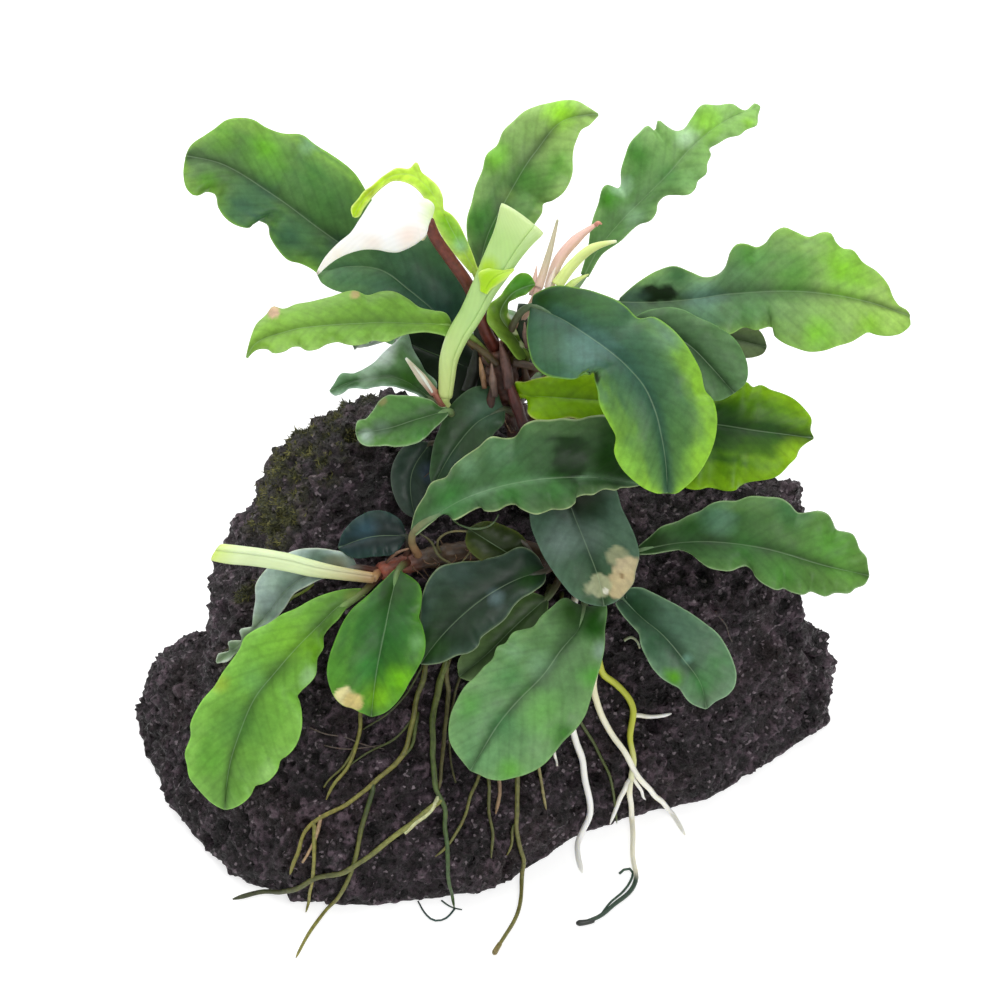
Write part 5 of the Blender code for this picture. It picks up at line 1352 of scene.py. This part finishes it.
rolls["spathe_cream"] = dict(
    slot="petal_cream", stem="stem_lower", at=0, stalk=0.6, lead=[],
    line=[(-18, 26, 33), (-21, 26.4, 33.4), (-24, 26.85, 33.9), (-27, 27.4, 34.3), (-30, 28.15, 34.6),
          (-33, 28.7, 34.9), (-36, 29.1, 35), (-38.5, 29.35, 35), (-40.9, 29.7, 35)],
    wide=[0.62, 0.72, 0.85, 1.05, 1.12, 1.15, 1.15, 1.25, 1.1], flat=1.0, start=0.6, turn=7.0,
    growth=0.14, mouth=0.05, mouthAt=2.6,
    tones=("#a8855c", "#d9edb0", "#c9e27a"), mark=(-39.8, 30, 1.1, "#b6d64c", 0.8),
)
rolls["sheath_thin"] = dict(
    slot="sheath", stem="stem_upper", at=1, stalk=0.5, lead=[(5, 66, 32)],
    line=[(5.5, 67.3, 32), (6.8, 71.5, 32), (8.2, 77, 32)],
    wide=[0.5, 0.36, 0.06], start=-0.6, turn=3.6, growth=0.1, mouth=0.0, mouthAt=0,
    tones=("#dcb8aa", "#bdb39a", "#9fa080"),
    blades=[dict(line=[(4.4, 66.2, 31.6), (4.9, 68.2, 31.8), (5.2, 70.4, 31.8)], wide=(0.35, 0.4, 0.06),
                 tone="#d8b4aa")],
)
rolls["sheath_pink"] = dict(
    slot="sheath", stem="stem_upper", at=0.93, stalk=0.5, lead=[(7.2, 66, 30.5)],
    line=[(7, 67.2, 30.5), (8.4, 71.2, 31), (10.8, 74.1, 31), (13.8, 76.4, 31)],
    wide=[0.6, 0.65, 0.6, 0.1], start=-0.8, turn=4.2, growth=0.1, mouth=0.0, mouthAt=0,
    tones=("#ecd6c8", "#e4b8ac", "#e0a498"),
    blades=[dict(line=[(6.6, 66, 31.4), (7.1, 68, 31.6), (7.9, 70.2, 31.8)], wide=(0.45, 0.5, 0.08),
                 tone="#f0dcd2"), dict(line=[(13.6, 76.2, 31), (14, 76.5, 31.2), (14.5, 76.3, 31.2)],
                                       wide=(0.35, 0.3, 0.08), tone="#c98878")],
)
rolls["sheath_green"] = dict(
    slot="sheath", stem="stem_upper", at=0.88, stalk=0.5, lead=[(8.2, 66.5, 32)],
    line=[(8.1, 67.6, 32), (10.4, 70.6, 32.2), (13.1, 72.9, 32.4), (16.6, 73.9, 32.5)],
    wide=[0.75, 0.62, 0.5, 0.08], start=-0.8, turn=3.8, growth=0.1, mouth=0.0, mouthAt=0,
    tones=("#d6e88c", "#cfe08a", "#e6edc0"),
    blades=[dict(line=[(8.6, 66.3, 31.6), (10.3, 67.9, 31.8), (12.6, 69.2, 31.8)], wide=(0.4, 0.5, 0.1),
                 tone="#cfe48a")],
)
rolls["sheath_side"] = dict(
    slot="sheath", stem="stem_side", at=0.92, stalk=0.45, lead=[(-8.6, 51.2, 32)],
    line=[(-9.3, 52.3, 32.4), (-11.2, 54.6, 33), (-13.4, 57.3, 33)],
    wide=[0.5, 0.52, 0.06], start=-0.8, turn=3.8, growth=0.1, mouth=0.0, mouthAt=0,
    tones=("#9a5f50", "#cdc2ac", "#e9eadb"),
    blades=[dict(line=[(-9.6, 52.4, 33), (-11, 54.6, 33.6), (-12.3, 56.2, 33.6)], wide=(0.16, 0.24, 0.05),
                 tone="#e6ead8")],
)
rollLook = dict(rows=46, around=34, thick=0.22, thin=0.05, points=200, evened=17, length=12,
                bodyFrom=0.45, edgeFrom=0.85, flutter=0.05, stalkPoints=30, stalkSides=12,
                stalkTone="#7d4f38", bladePoints=16, bladeSides=8)

# The open flower's stalk, and its spike, which is beaded with the smallest flowers

spike = dict(
    stalk=[(-1.7, 60.4, 31.3), (-3, 64, 33.6), (-4.6, 67.8, 35.8), (-7.1, 71.4, 37.2), (-9.4, 74.8, 38.8),
           (-10.2, 76.8, 39.8)],
    stalkRadii=(0.9, 0.8), stalkTone="#6b2e20", points=60, sides=14, beads=60, beadHigh=0.12,
    line=[(-10.5, 75, 37.8), (-14.5, 76, 37.2), (-19, 74.5, 36.8)], radius=1.0, taper=0.3, tone="#e2d9ae",
)


def rolledPart(spec, number):
    # a thin sheet rolled round a line: start and turn are angles, 1.57 faces the viewer
    r = rollLook
    share = np.linspace(0, 1, r["rows"])
    marks = seen(spec["line"])
    line = smoothLine(marks, r["points"])
    reached = runOf(marks)
    half = np.interp(np.linspace(0, reached[-1], r["points"]), reached, spec["wide"])
    half = evened(half, r["evened"])
    turns = spec["start"] + spec["turn"] * np.linspace(0, 1, r["around"])
    cut = 1 - spec["mouth"] * (0.5 - 0.5 * np.cos(turns - spec["mouthAt"]))
    at = share[:, None] * cut[None, :] * (r["points"] - 1)
    way = unit(np.gradient(line, axis=0))
    side = unit(np.cross(way, towardWay))
    other = np.cross(side, way)
    low = np.minimum(at.astype(int), r["points"] - 2)
    part = (at - low)[..., None]

    def pick(values):
        return values[low] * (1 - part) + values[low + 1] * part

    grow = 1 + spec["growth"] * (np.linspace(0, 1, r["around"]) - 0.5)
    flutter = 1 + r["flutter"] * wave(number + 80, share * 7)[:, None] * share[:, None]
    radius = pick(half[:, None])[..., 0] * grow[None, :] * flutter
    flatter = 1 + (spec.get("flat", 1) - 1) * np.clip(share * 1.6 - 0.4, 0, 1)[:, None]
    surface = (pick(line) + pick(side) * (np.cos(turns) * radius)[..., None]
               + pick(other) * (np.sin(turns) * radius * flatter)[..., None])
    thick = np.full(at.shape, r["thick"] / 2)
    thick[:, 0] = thick[:, -1] = thick[-1] = r["thin"]
    top, points, faces = thickSheet(surface, unit(surface - pick(line)), thick, thick)
    foot, body, edge = (linear(c) for c in spec["tones"])
    down = share[:, None, None]
    colours = foot + (body - foot) * np.clip(down / r["bodyFrom"], 0, 1) * np.ones((1, r["around"], 1))
    colours = colours + (edge - colours) * np.clip((down - r["edgeFrom"]) / (1 - r["edgeFrom"]), 0, 1)
    if "mark" in spec:
        across, up, reach, colour, strength = spec["mark"]
        near = seenAway(top, across, up, 0)[..., None] / reach
        colours = colours + (linear(colour) - colours) * strength * np.clip(1.5 - near, 0, 1)
    tones = np.concatenate([colours.reshape(-1, 3), colours.reshape(-1, 3) * 0.95])
    place = np.stack([turns[None, :] * radius, share[:, None] * r["length"] + radius * 0], -1).reshape(-1, 2)
    return points, faces, tones, np.concatenate([place, place])


def makeFlowers():
    made = piece("spatheWhite", [bladePart(whiteHood, 70)[0]], petalSkin)
    closeUp(made)
    handOver(made, "spathe_white")
    f = spike
    r = rollLook
    path = smoothLine([stemPlace("stem_upper", 1)] + list(seen(f["stalk"])), r["stalkPoints"])
    red = linear(f["stalkTone"]) * (0.8 + 0.2 * np.linspace(0, 1, r["stalkPoints"]))[:, None]
    radii = np.linspace(*f["stalkRadii"], r["stalkPoints"])
    made = piece("flowerStalk", [tubePart(path, radii, f["sides"], red)], barkSkin)
    handOver(made, "flower_stalk")
    path = smoothLine(seen(f["line"]), f["points"])
    beads = 1 + f["beadHigh"] * np.sin(np.linspace(0, f["beads"], f["points"]))
    radii = (f["radius"] - f["taper"] * np.linspace(0, 1, f["points"]) ** 2) * beads
    cream = linear(f["tone"]) * np.ones((f["points"], 1))
    made = piece("flowerSpike", [tubePart(path, radii, f["sides"], cream)], petalSkin)
    handOver(made, "flower_spike")
    for number, (name, spec) in enumerate(rolls.items()):
        places = [stemPlace(spec["stem"], spec["at"])] + list(seen(spec["lead"] + spec["line"][:1]))
        share = np.linspace(0, 1, r["stalkPoints"])[:, None]
        foot = linear(spec["tones"][0])
        tones = linear(spec.get("stalkTone", r["stalkTone"])) * (1 - share) + foot * share
        radii = np.full(r["stalkPoints"], spec["stalk"])
        stalk = tubePart(smoothLine(places, r["stalkPoints"]), radii, r["stalkSides"], tones)
        parts = [rolledPart(spec, number), stalk]
        if "lip" in spec:
            parts.append(bladePart(spec["lip"], 90)[0])
        for blade in spec.get("blades", []):
            path = smoothLine(seen(blade["line"]), r["bladePoints"])
            wide = np.interp(np.linspace(0, 1, r["bladePoints"]), np.linspace(0, 1, 3), blade["wide"])
            tones = linear(blade["tone"]) * np.ones((r["bladePoints"], 1))
            parts.append(tubePart(path, wide, r["bladeSides"], tones))
        made = piece(joinedWords(name), parts, petalSkin)
        closeUp(made)
        handOver(made, name)
    print("flowers and sheaths made")


makeFlowers()


# Bracts, leaf scars and dried fibres between the stalks, and dark sheets behind the stalks that
# are painted shade in the gaps: each of these has its line from its foot to its tip, its radii
# along it and the colours of its foot and its tip

crown = dict(
    bracts=[
        ([(1.3, 53, 32), (0.9, 56, 32.5), (0, 59.6, 32.5)], (0.75, 0.8, 0.15), "#4c302c", "#7a5850"),
        ([(-0.7, 51.8, 32), (-1, 54, 32.5), (-1.2, 56.6, 32.5)], (0.45, 0.55, 0.1), "#4c3830", "#8a6f62"),
        ([(-2.2, 53, 31.5), (-2.5, 55, 32), (-2.9, 57.4, 32)], (0.35, 0.42, 0.1), "#6b4a30", "#b08a62"),
        ([(3.6, 47, 30), (2.4, 50.5, 31.5), (1.2, 54, 32.3)], (0.75, 0.85, 0.5), "#3c1a18", "#5c2a26"),
        ([(-0.3, 56.3, 32), (-2.4, 58.2, 33), (-4.8, 59.8, 34.5)], (0.5, 0.5, 0.3), "#3f3018", "#5c4e24"),
        ([(2, 56.6, 32.5), (4, 56.2, 33.2), (6.4, 55.1, 34)], (0.6, 0.5, 0.15), "#3a2a1c", "#5c4430"),
        ([(3.9, 58.8, 32.6), (3.6, 60.6, 33), (3.5, 62.4, 33)], (0.35, 0.42, 0.08), "#5c3c34", "#a08478"),
        # the four nearly black sheets from here on are painted shade behind the stalks, not bracts
        ([(3.4, 57, 30.5), (3.1, 61, 31), (3.2, 65, 31.5)], (0.9, 1.1, 0.6), "#1c2414", "#24381e"),
        ([(-0.8, 54.5, 27), (-2.2, 59, 27.3), (-3, 63.5, 28)], (1.2, 1.4, 0.8), "#171c12", "#22301c"),
        ([(2.2, 52.5, 27), (3.2, 56, 27), (4.8, 59.5, 27.5)], (1.2, 1.4, 0.8), "#18120e", "#221c12"),
        ([(-4.6, 52.5, 27), (-3.6, 56, 27.5), (-3.4, 58.6, 28)], (0.9, 1.0, 0.4), "#171c12", "#20281a"),
        ([(4.5, 51, 29), (3.8, 54, 30), (3.2, 57, 31)], (0.6, 0.6, 0.2), "#40261f", "#5a4032"),
        ([(-1.6, 49, 29.5), (-1.2, 52, 31), (-0.6, 55, 32)], (0.6, 0.6, 0.2), "#35201a", "#58382c"),
        ([(-8.4, 29.6, 31), (-8.9, 31.2, 32), (-7.8, 32.3, 32.6), (-5.8, 32.7, 32.8), (-3.8, 32.2, 32.6),
          (-3.9, 30.6, 32), (-5.4, 28.3, 31)], (0.2, 0.14, 0.18, 0.1), "#55522c", "#807a50"),
        ([(-11.4, 32.3, 31), (-9.7, 31, 32), (-8.8, 29.3, 32), (-5.8, 27.6, 31.6)], (0.12, 0.22, 0.12),
         "#454522", "#5c5a2c"),
        ([(1.2, 32.4, 31.5), (3.4, 31, 32), (5.2, 28.6, 31.6)], (0.1, 0.3, 0.15), "#6b655a", "#4a4438"),
        ([(-7.2, 34.8, 33), (-5.6, 33.5, 34), (-3.4, 33, 34.3), (-1.2, 33.6, 34), (-0.2, 35, 33.4)],
         (0.08, 0.16, 0.08), "#3f5830", "#587248"),
        ([(-16.2, 28.2, 31), (-14.6, 29.6, 31.6), (-12.9, 30.2, 31.6)], (0.2, 0.26, 0.1), "#5c3a28",
         "#8a6a50"),
    ],
    points=18, sides=10, fibres=70, fibreLength=(2.5, 7.0), fibreWide=(0.07, 0.15), fibrePoints=10,
    fibreSides=5, outward=0.9, curl=0.35, droop=0.5, taper=0.6, clear=0.15, seed=11,
    tones=("#3a2718", "#7d6346"),
    reach={"stem_lower": 1.0, "stem_upper": 0.45, "stem_side": 0.5},
)


def makeCrown():
    parts = []
    for number, (line, wide, *ends) in enumerate(crown["bracts"]):
        path = smoothLine(seen(line), crown["points"])
        share = np.linspace(0, 1, crown["points"])
        radii = np.interp(share, np.linspace(0, 1, len(wide)), wide)
        foot, tip = (linear(c) for c in ends)
        tones = foot + (tip - foot) * share[:, None]
        radii = radii * (1 + 0.12 * wave(number + 150, share * 6))
        parts.append(tubePart(path, radii, crown["sides"], tones))
    made = piece("crownBractsAndShadeSheets", parts, barkSkin)
    closeUp(made)
    handOver(made, None)
    dice = np.random.default_rng(crown["seed"])
    parts = []
    dark, pale = (linear(c) for c in crown["tones"])
    names = list(crown["reach"])
    for number in range(crown["fibres"]):
        # of each five fibres two grow on the first stem, two on the second and one on the third
        name = names[number % 5 % 3]
        start = stemPlace(name, dice.uniform(0, crown["reach"][name]))
        drift = unit(dice.normal(size=3) + towardWay * crown["outward"])
        length = dice.uniform(*crown["fibreLength"])
        steps = np.linspace(0, 1, crown["fibrePoints"])[:, None]
        curl = np.stack([wave(number * 3 + k + 200, steps[:, 0] * 2.5) for k in range(3)], 1)
        path = start + drift * length * steps + curl * length * crown["curl"] * steps
        path = path - np.array([0, 0, crown["droop"]]) * length * steps**2
        path = np.array([pushedOff(rock, Vector(p), crown["clear"]) for p in path])
        wide = dice.uniform(*crown["fibreWide"])
        tone = dark + (pale - dark) * dice.uniform(0, 1) * (0.4 + 0.6 * steps)
        parts.append(tubePart(path, wide * (1 - crown["taper"] * steps[:, 0]), crown["fibreSides"], tone))
    handOver(piece("driedFibres", parts, barkSkin), None)
    print("crown made:", len(parts), "fibres")


makeCrown()


# Roots lie on the stone and run out on the ground. The first route is the root and the others
# are its branches, each with its radius at its start and its end.

roots = {}
roots["root_far_left"] = dict(
    routes=[([(-17, 22.5), (-19, 15), (-19.8, 9), (-20.1, 4.5), (-20.6, 1.5), (-21.6, -1), (-23.2, -3.6),
              (-24.2, -5.4)], 0.36, 0.22)],
    tones=("#565e24", "#7c7a34"),
)
roots["root_left"] = dict(
    routes=[
        ([(-8, 26), (-9.3, 19), (-10.9, 12.5), (-12.6, 6), (-13.9, 0.6), (-16.6, -1.8), (-21.3, -5.8),
          (-24.6, -7.4), (-27.3, -9.4), (-29, -13.4), (-29.3, -16)], 0.42, 0.26),
        ([(-26.2, -8.6), (-26.4, -13.4), (-26.6, -17.3), (-27.6, -21.8)], 0.32, 0.2, "#7b7a34", "#8f8c48"),
        ([(-17.9, -3.6), (-19.1, -7.4), (-20.3, -11.4), (-21, -14.8), (-22.3, -18), (-24.6, -21.3),
          (-27.3, -25), (-29, -28.3)], 0.36, 0.22, "#37461a", "#84823a"),
        ([(-8.4, 15), (-9.7, 5.8), (-9.9, -0.9), (-9.1, -5.4), (-8.3, -8), (-7.7, -14), (-6.8, -19.6),
          (-6.5, -21.3)], 0.5, 0.22, "#5c6626", "#435c2e"),
        ([(-9.6, -6), (-11.4, -8), (-14.6, -10.3), (-19.3, -13.4), (-24.6, -16.1), (-31.3, -18.1),
          (-38, -20)], 0.38, 0.34, "#8c9048", "#3f4424"),
    ],
    tones=("#3c4814", "#7e7a36"),
)
roots["root_centre_left"] = dict(
    routes=[([(1, 26.3), (-1, 14), (-2.9, -1.5), (-4.7, -6.8), (-6.7, -11), (-9, -13.2)], 0.34, 0.2)],
    tones=("#4d5426", "#6c6c34"),
)
roots["root_centre"] = dict(
    routes=[([(3, 26), (1, 14), (-1.9, -2), (-1.7, -7.4), (-1.6, -13.5)], 0.32, 0.2)],
    tones=("#4b5228", "#5f6232"),
)
roots["root_short"] = dict(
    routes=[([(4.8, 25.6), (2.8, 14), (-0.4, -2), (-0.5, -7.4)], 0.34, 0.26)],
    tones=("#6a5a36", "#8f7658"),
)
roots["root_long"] = dict(
    routes=[
        ([(6.8, 25), (4.8, 14), (1.8, -1.5), (1.7, -7.4), (2.3, -12), (2.8, -15.4), (3.1, -19.3),
          (2.3, -22.8), (0.6, -25.3), (-0.6, -27.3)], 0.4, 0.26),
        ([(0, -26.3), (-0.5, -27.1), (-0.9, -27.8)], 0.35, 0.42, "#8a7f48", "#7c6f42"),
        ([(1.8, -8.6), (1.1, -10.8), (0.3, -13.2)], 0.22, 0.14),
    ],
    tones=("#4d5626", "#757238"),
)
roots["root_stub"] = dict(
    routes=[([(8.6, 24), (7.2, 12), (5.4, -0.5), (5.4, -4.6), (6.3, -6.8)], 0.34, 0.2)],
    tones=("#565e28", "#8f8858"),
)
roots["root_white"] = dict(
    routes=[
        ([(10, 22.8), (9.2, 14), (9.4, 7), (10.2, 3.6), (11.4, -1.2), (12.2, -6), (11.3, -9.4),
          (10.9, -13.2), (11.7, -16.4)], 0.56, 0.4),
        ([(9.6, 8), (11.4, 5.4), (13.8, 1.8), (15.4, -1.6), (16.4, -8.4)], 0.26, 0.16, "#3f4a1c", "#46521f"),
    ],
    tones=("#efe8d6", "#faf9f4"), white=True,
)
roots["root_forked"] = dict(
    routes=[
        ([(13.4, 22), (13.6, 14.5), (14.4, 12.6), (16.2, 11), (17.8, 8.7), (18.2, 4.7), (17.9, 0.1),
          (18.3, -3.5), (18.5, -6.1), (18.9, -10.8), (18.9, -14.8), (19.5, -17.1), (18.5, -19.1),
          (16.2, -20.8), (14.2, -22.6), (11.6, -23.4)], 0.52, 0.3),
        ([(13.2, 15), (12.9, 9.6), (14.2, 6.4), (16.5, 2.4), (17.9, -0.3), (19.9, -2.4), (22.9, -5.6),
          (26.3, -11)], 0.52, 0.32, "#e2dcb4", "#faf8ee"),
        ([(18.4, 7.1), (20.4, 6.9), (22.2, 7.2), (24, 7.4)], 0.36, 0.24, "#e6e2c6", "#faf8ee"),
        ([(18.4, -2.3), (16.8, -5), (15.3, -8.6)], 0.42, 0.24, "#f2eedc", "#faf8ee"),
        ([(18.6, -1.8), (19.4, -3.4), (20.3, -4.9)], 0.3, 0.18, "#f2eedc", "#faf8ee"),
        ([(13.4, -23), (12, -23.3), (10.8, -23.4)], 0.36, 0.46, "#2a302a", "#262b26"),
    ],
    tones=("#b6bc3e", "#f4f0dc"), white=True, paleFrom=0.36, darkEnd="#2f4436",
)
rootLook = dict(step=0.7, fewest=12, sides=9, fineSides=7, clear=0.06, knob=0.14, whiteKnob=0.06,
                knobSize=1.6, ends=(0.8, 0.35), paleOver=0.14, darkFrom=0.77, darkOver=0.03)


def rootPath(places, radius):
    # a seen route laid on the stone, with a point for each step of its length, and that length
    length = sum(math.dist(a, b) for a, b in zip(places, places[1:]))
    count = max(rootLook["fewest"], round(length / rootLook["step"]))
    return laidPath(rock, places, radius + rootLook["clear"], count), length


def makeRoots():
    r = rootLook
    for number, (name, spec) in enumerate(roots.items()):
        parts, grown, white = [], None, spec.get("white")
        for k, (places, first, last, *own) in enumerate(spec["routes"]):
            path, length = rootPath(places, first)
            if grown is None:
                grown = path
            else:
                path[0] = grown[np.argmin(np.linalg.norm(grown - path[0], axis=1))]
                grown = np.concatenate([grown, path])
            share = np.linspace(0, 1, len(path))
            knob = r["whiteKnob"] if white else r["knob"]
            rough = 1 + knob * wave(number * 4 + k + 100, share * length, r["knobSize"])
            radii = (first + (last - first) * share) * rough
            radii[-2:] *= r["ends"]
            pale = np.clip(share * 1.3 + 0.25 * wave(number + k, share * 9), 0, 1)
            if k == 0 and "paleFrom" in spec:
                pale = np.clip((share - spec["paleFrom"]) / r["paleOver"], 0, 1)
            young, old = (linear(c) for c in own or spec["tones"])
            tones = young + (old - young) * pale[:, None]
            if k == 0 and "darkEnd" in spec:
                dark = np.clip((share - r["darkFrom"]) / r["darkOver"], 0, 1)[:, None]
                tones = tones + (linear(spec["darkEnd"]) - tones) * dark
            parts.append(tubePart(path, radii, r["sides"], tones))
        made = piece(joinedWords(name), parts, petalSkin if white else barkSkin)
        handOver(made, name)
    print("roots made")


# Rootlets: the finest roots and dried ends, each with its radius at its start and its end

rootlets = [
    ([(-25.4, -8), (-26.3, -11.4), (-28, -14.3)], 0.3, 0.18, "#a98f6c"),
    ([(-9.3, -5.2), (-11.4, -8.4), (-13.5, -10.2)], 0.36, 0.24, "#c3c795"),
    ([(-6.4, -21.1), (-8.1, -22.8), (-9.4, -22.9), (-10.7, -21.8), (-11.7, -19.8)], 0.17, 0.12, "#2c4740"),
    ([(-8.3, -20), (-7, -20.9), (-5.4, -21.3)], 0.14, 0.1, "#2f4a3c"),
    ([(-11.7, 7), (-12.6, 2), (-15.6, -1), (-18.1, -3.4)], 0.28, 0.22, "#4c5820"),
    ([(-20.4, 2.6), (-22, -0.6), (-24.6, -3.6)], 0.22, 0.14, "#62642c"),
    ([(-7, 18), (-7.6, 9), (-8.3, 1), (-9, -4.2)], 0.4, 0.24, "#5d5a30"),
    ([(-8.6, 19), (-11.6, 12), (-15, 7.6), (-19.6, 4.4)], 0.2, 0.12, "#3f4a20"),
    ([(-12.4, 6.6), (-14.6, 3.4), (-18.4, 1.2), (-22.6, -1.4)], 0.18, 0.12, "#46501f"),
    ([(-5, 16), (-6.8, 8), (-7.2, 0.6), (-6.6, -3)], 0.22, 0.14, "#4a4a24"),
    ([(-27, 4.6), (-22, 2.9), (-16.4, 1.7)], 0.1, 0.08, "#5c5148"),
    ([(-25, 2.2), (-20, 1.7), (-15.5, 2.7)], 0.1, 0.08, "#554a40"),
    ([(7.3, 1.8), (7.5, 0.6), (7.6, -0.5)], 0.26, 0.16, "#e9e6da"),
    ([(17, -16.2), (18.3, -15.4), (18.9, -15.8), (18.5, -17.4), (17.3, -19), (15.8, -20.2), (14.5, -21.9)],
     0.2, 0.16, "#3a5544"),
    ([(17.6, 17.2), (18.6, 17.7), (19.6, 16.9), (19.8, 16.1)], 0.22, 0.14, "#9fa888"),
    ([(30.5, 21), (32, 19.5), (32.6, 17)], 0.09, 0.07, "#4a423a"),
    ([(-30.5, 22.6), (-31.6, 20.4), (-29.6, 23.2), (-26.6, 25)], 0.3, 0.22, "#6f7f28"),
]


def makeRootlets():
    parts = []
    for number, (places, first, last, colour) in enumerate(rootlets):
        path, _ = rootPath(places, first)
        share = np.linspace(0, 1, len(path))
        radii = (first + (last - first) * share) * (1 + rootLook["knob"] * wave(number + 300, share * 9))
        tones = linear(colour) * np.ones((len(path), 1))
        parts.append(tubePart(path, radii, rootLook["fineSides"], tones))
    handOver(piece("rootlets", parts, barkSkin), None)
    print("rootlets made:", len(parts))


makeRoots()
makeRootlets()

handOver(lavaStone, "stone")
handOver(mossFelt, None)

# Ground, light and camera: the photograph was taken in a white tent

floorMaterial, tree, paper = newMaterial("whiteGround")
feed(tree, paper, {"Base Color": (0.5, 0.5, 0.5, 1), "Roughness": 0.9, "Specular IOR Level": 0.1,
                   "Emission Color": (1, 1, 1, 1), "Emission Strength": 0.72})
bpy.ops.mesh.primitive_plane_add(size=4, location=(0, 0, -0.0001))
ground = bpy.context.object
ground.name = "ground"
ground.data.materials.append(floorMaterial)

world = bpy.data.worlds.new("tent")
bpy.context.scene.world = world
world.use_nodes = True
feed(world.node_tree, world.node_tree.nodes["Background"], {"Color": (1, 1, 1, 1), "Strength": 0.5})

lamps = dict(
    topLight=dict(place=(-0.12, 0.32, 0.7), size=1.0, power=7.4),
    frontLight=dict(place=(0.3, -0.6, 0.65), size=0.4, power=3.0),
)
for name, spec in lamps.items():
    lamp = bpy.data.lights.new(name, "AREA")
    lamp.size, lamp.energy = spec["size"], spec["power"]
    holder = placed(name, lamp)
    holder.location = spec["place"]
    holder.rotation_euler = (Vector((0, 0, 0.04)) - holder.location).to_track_quat("-Z", "Y").to_euler()

camera = placed("camera", bpy.data.cameras.new("camera"))
camera.data.lens, camera.data.sensor_width = look["lens"], look["sensor"]
target = upWay * look["middle"] * mm
camera.location = Vector(target + towardWay * look["distance"] * mm)
camera.rotation_euler = (Vector(target) - camera.location).to_track_quat("-Z", "Y").to_euler()
bpy.context.scene.camera = camera
bpy.context.scene.view_settings.view_transform = "Standard"
print("stage made")
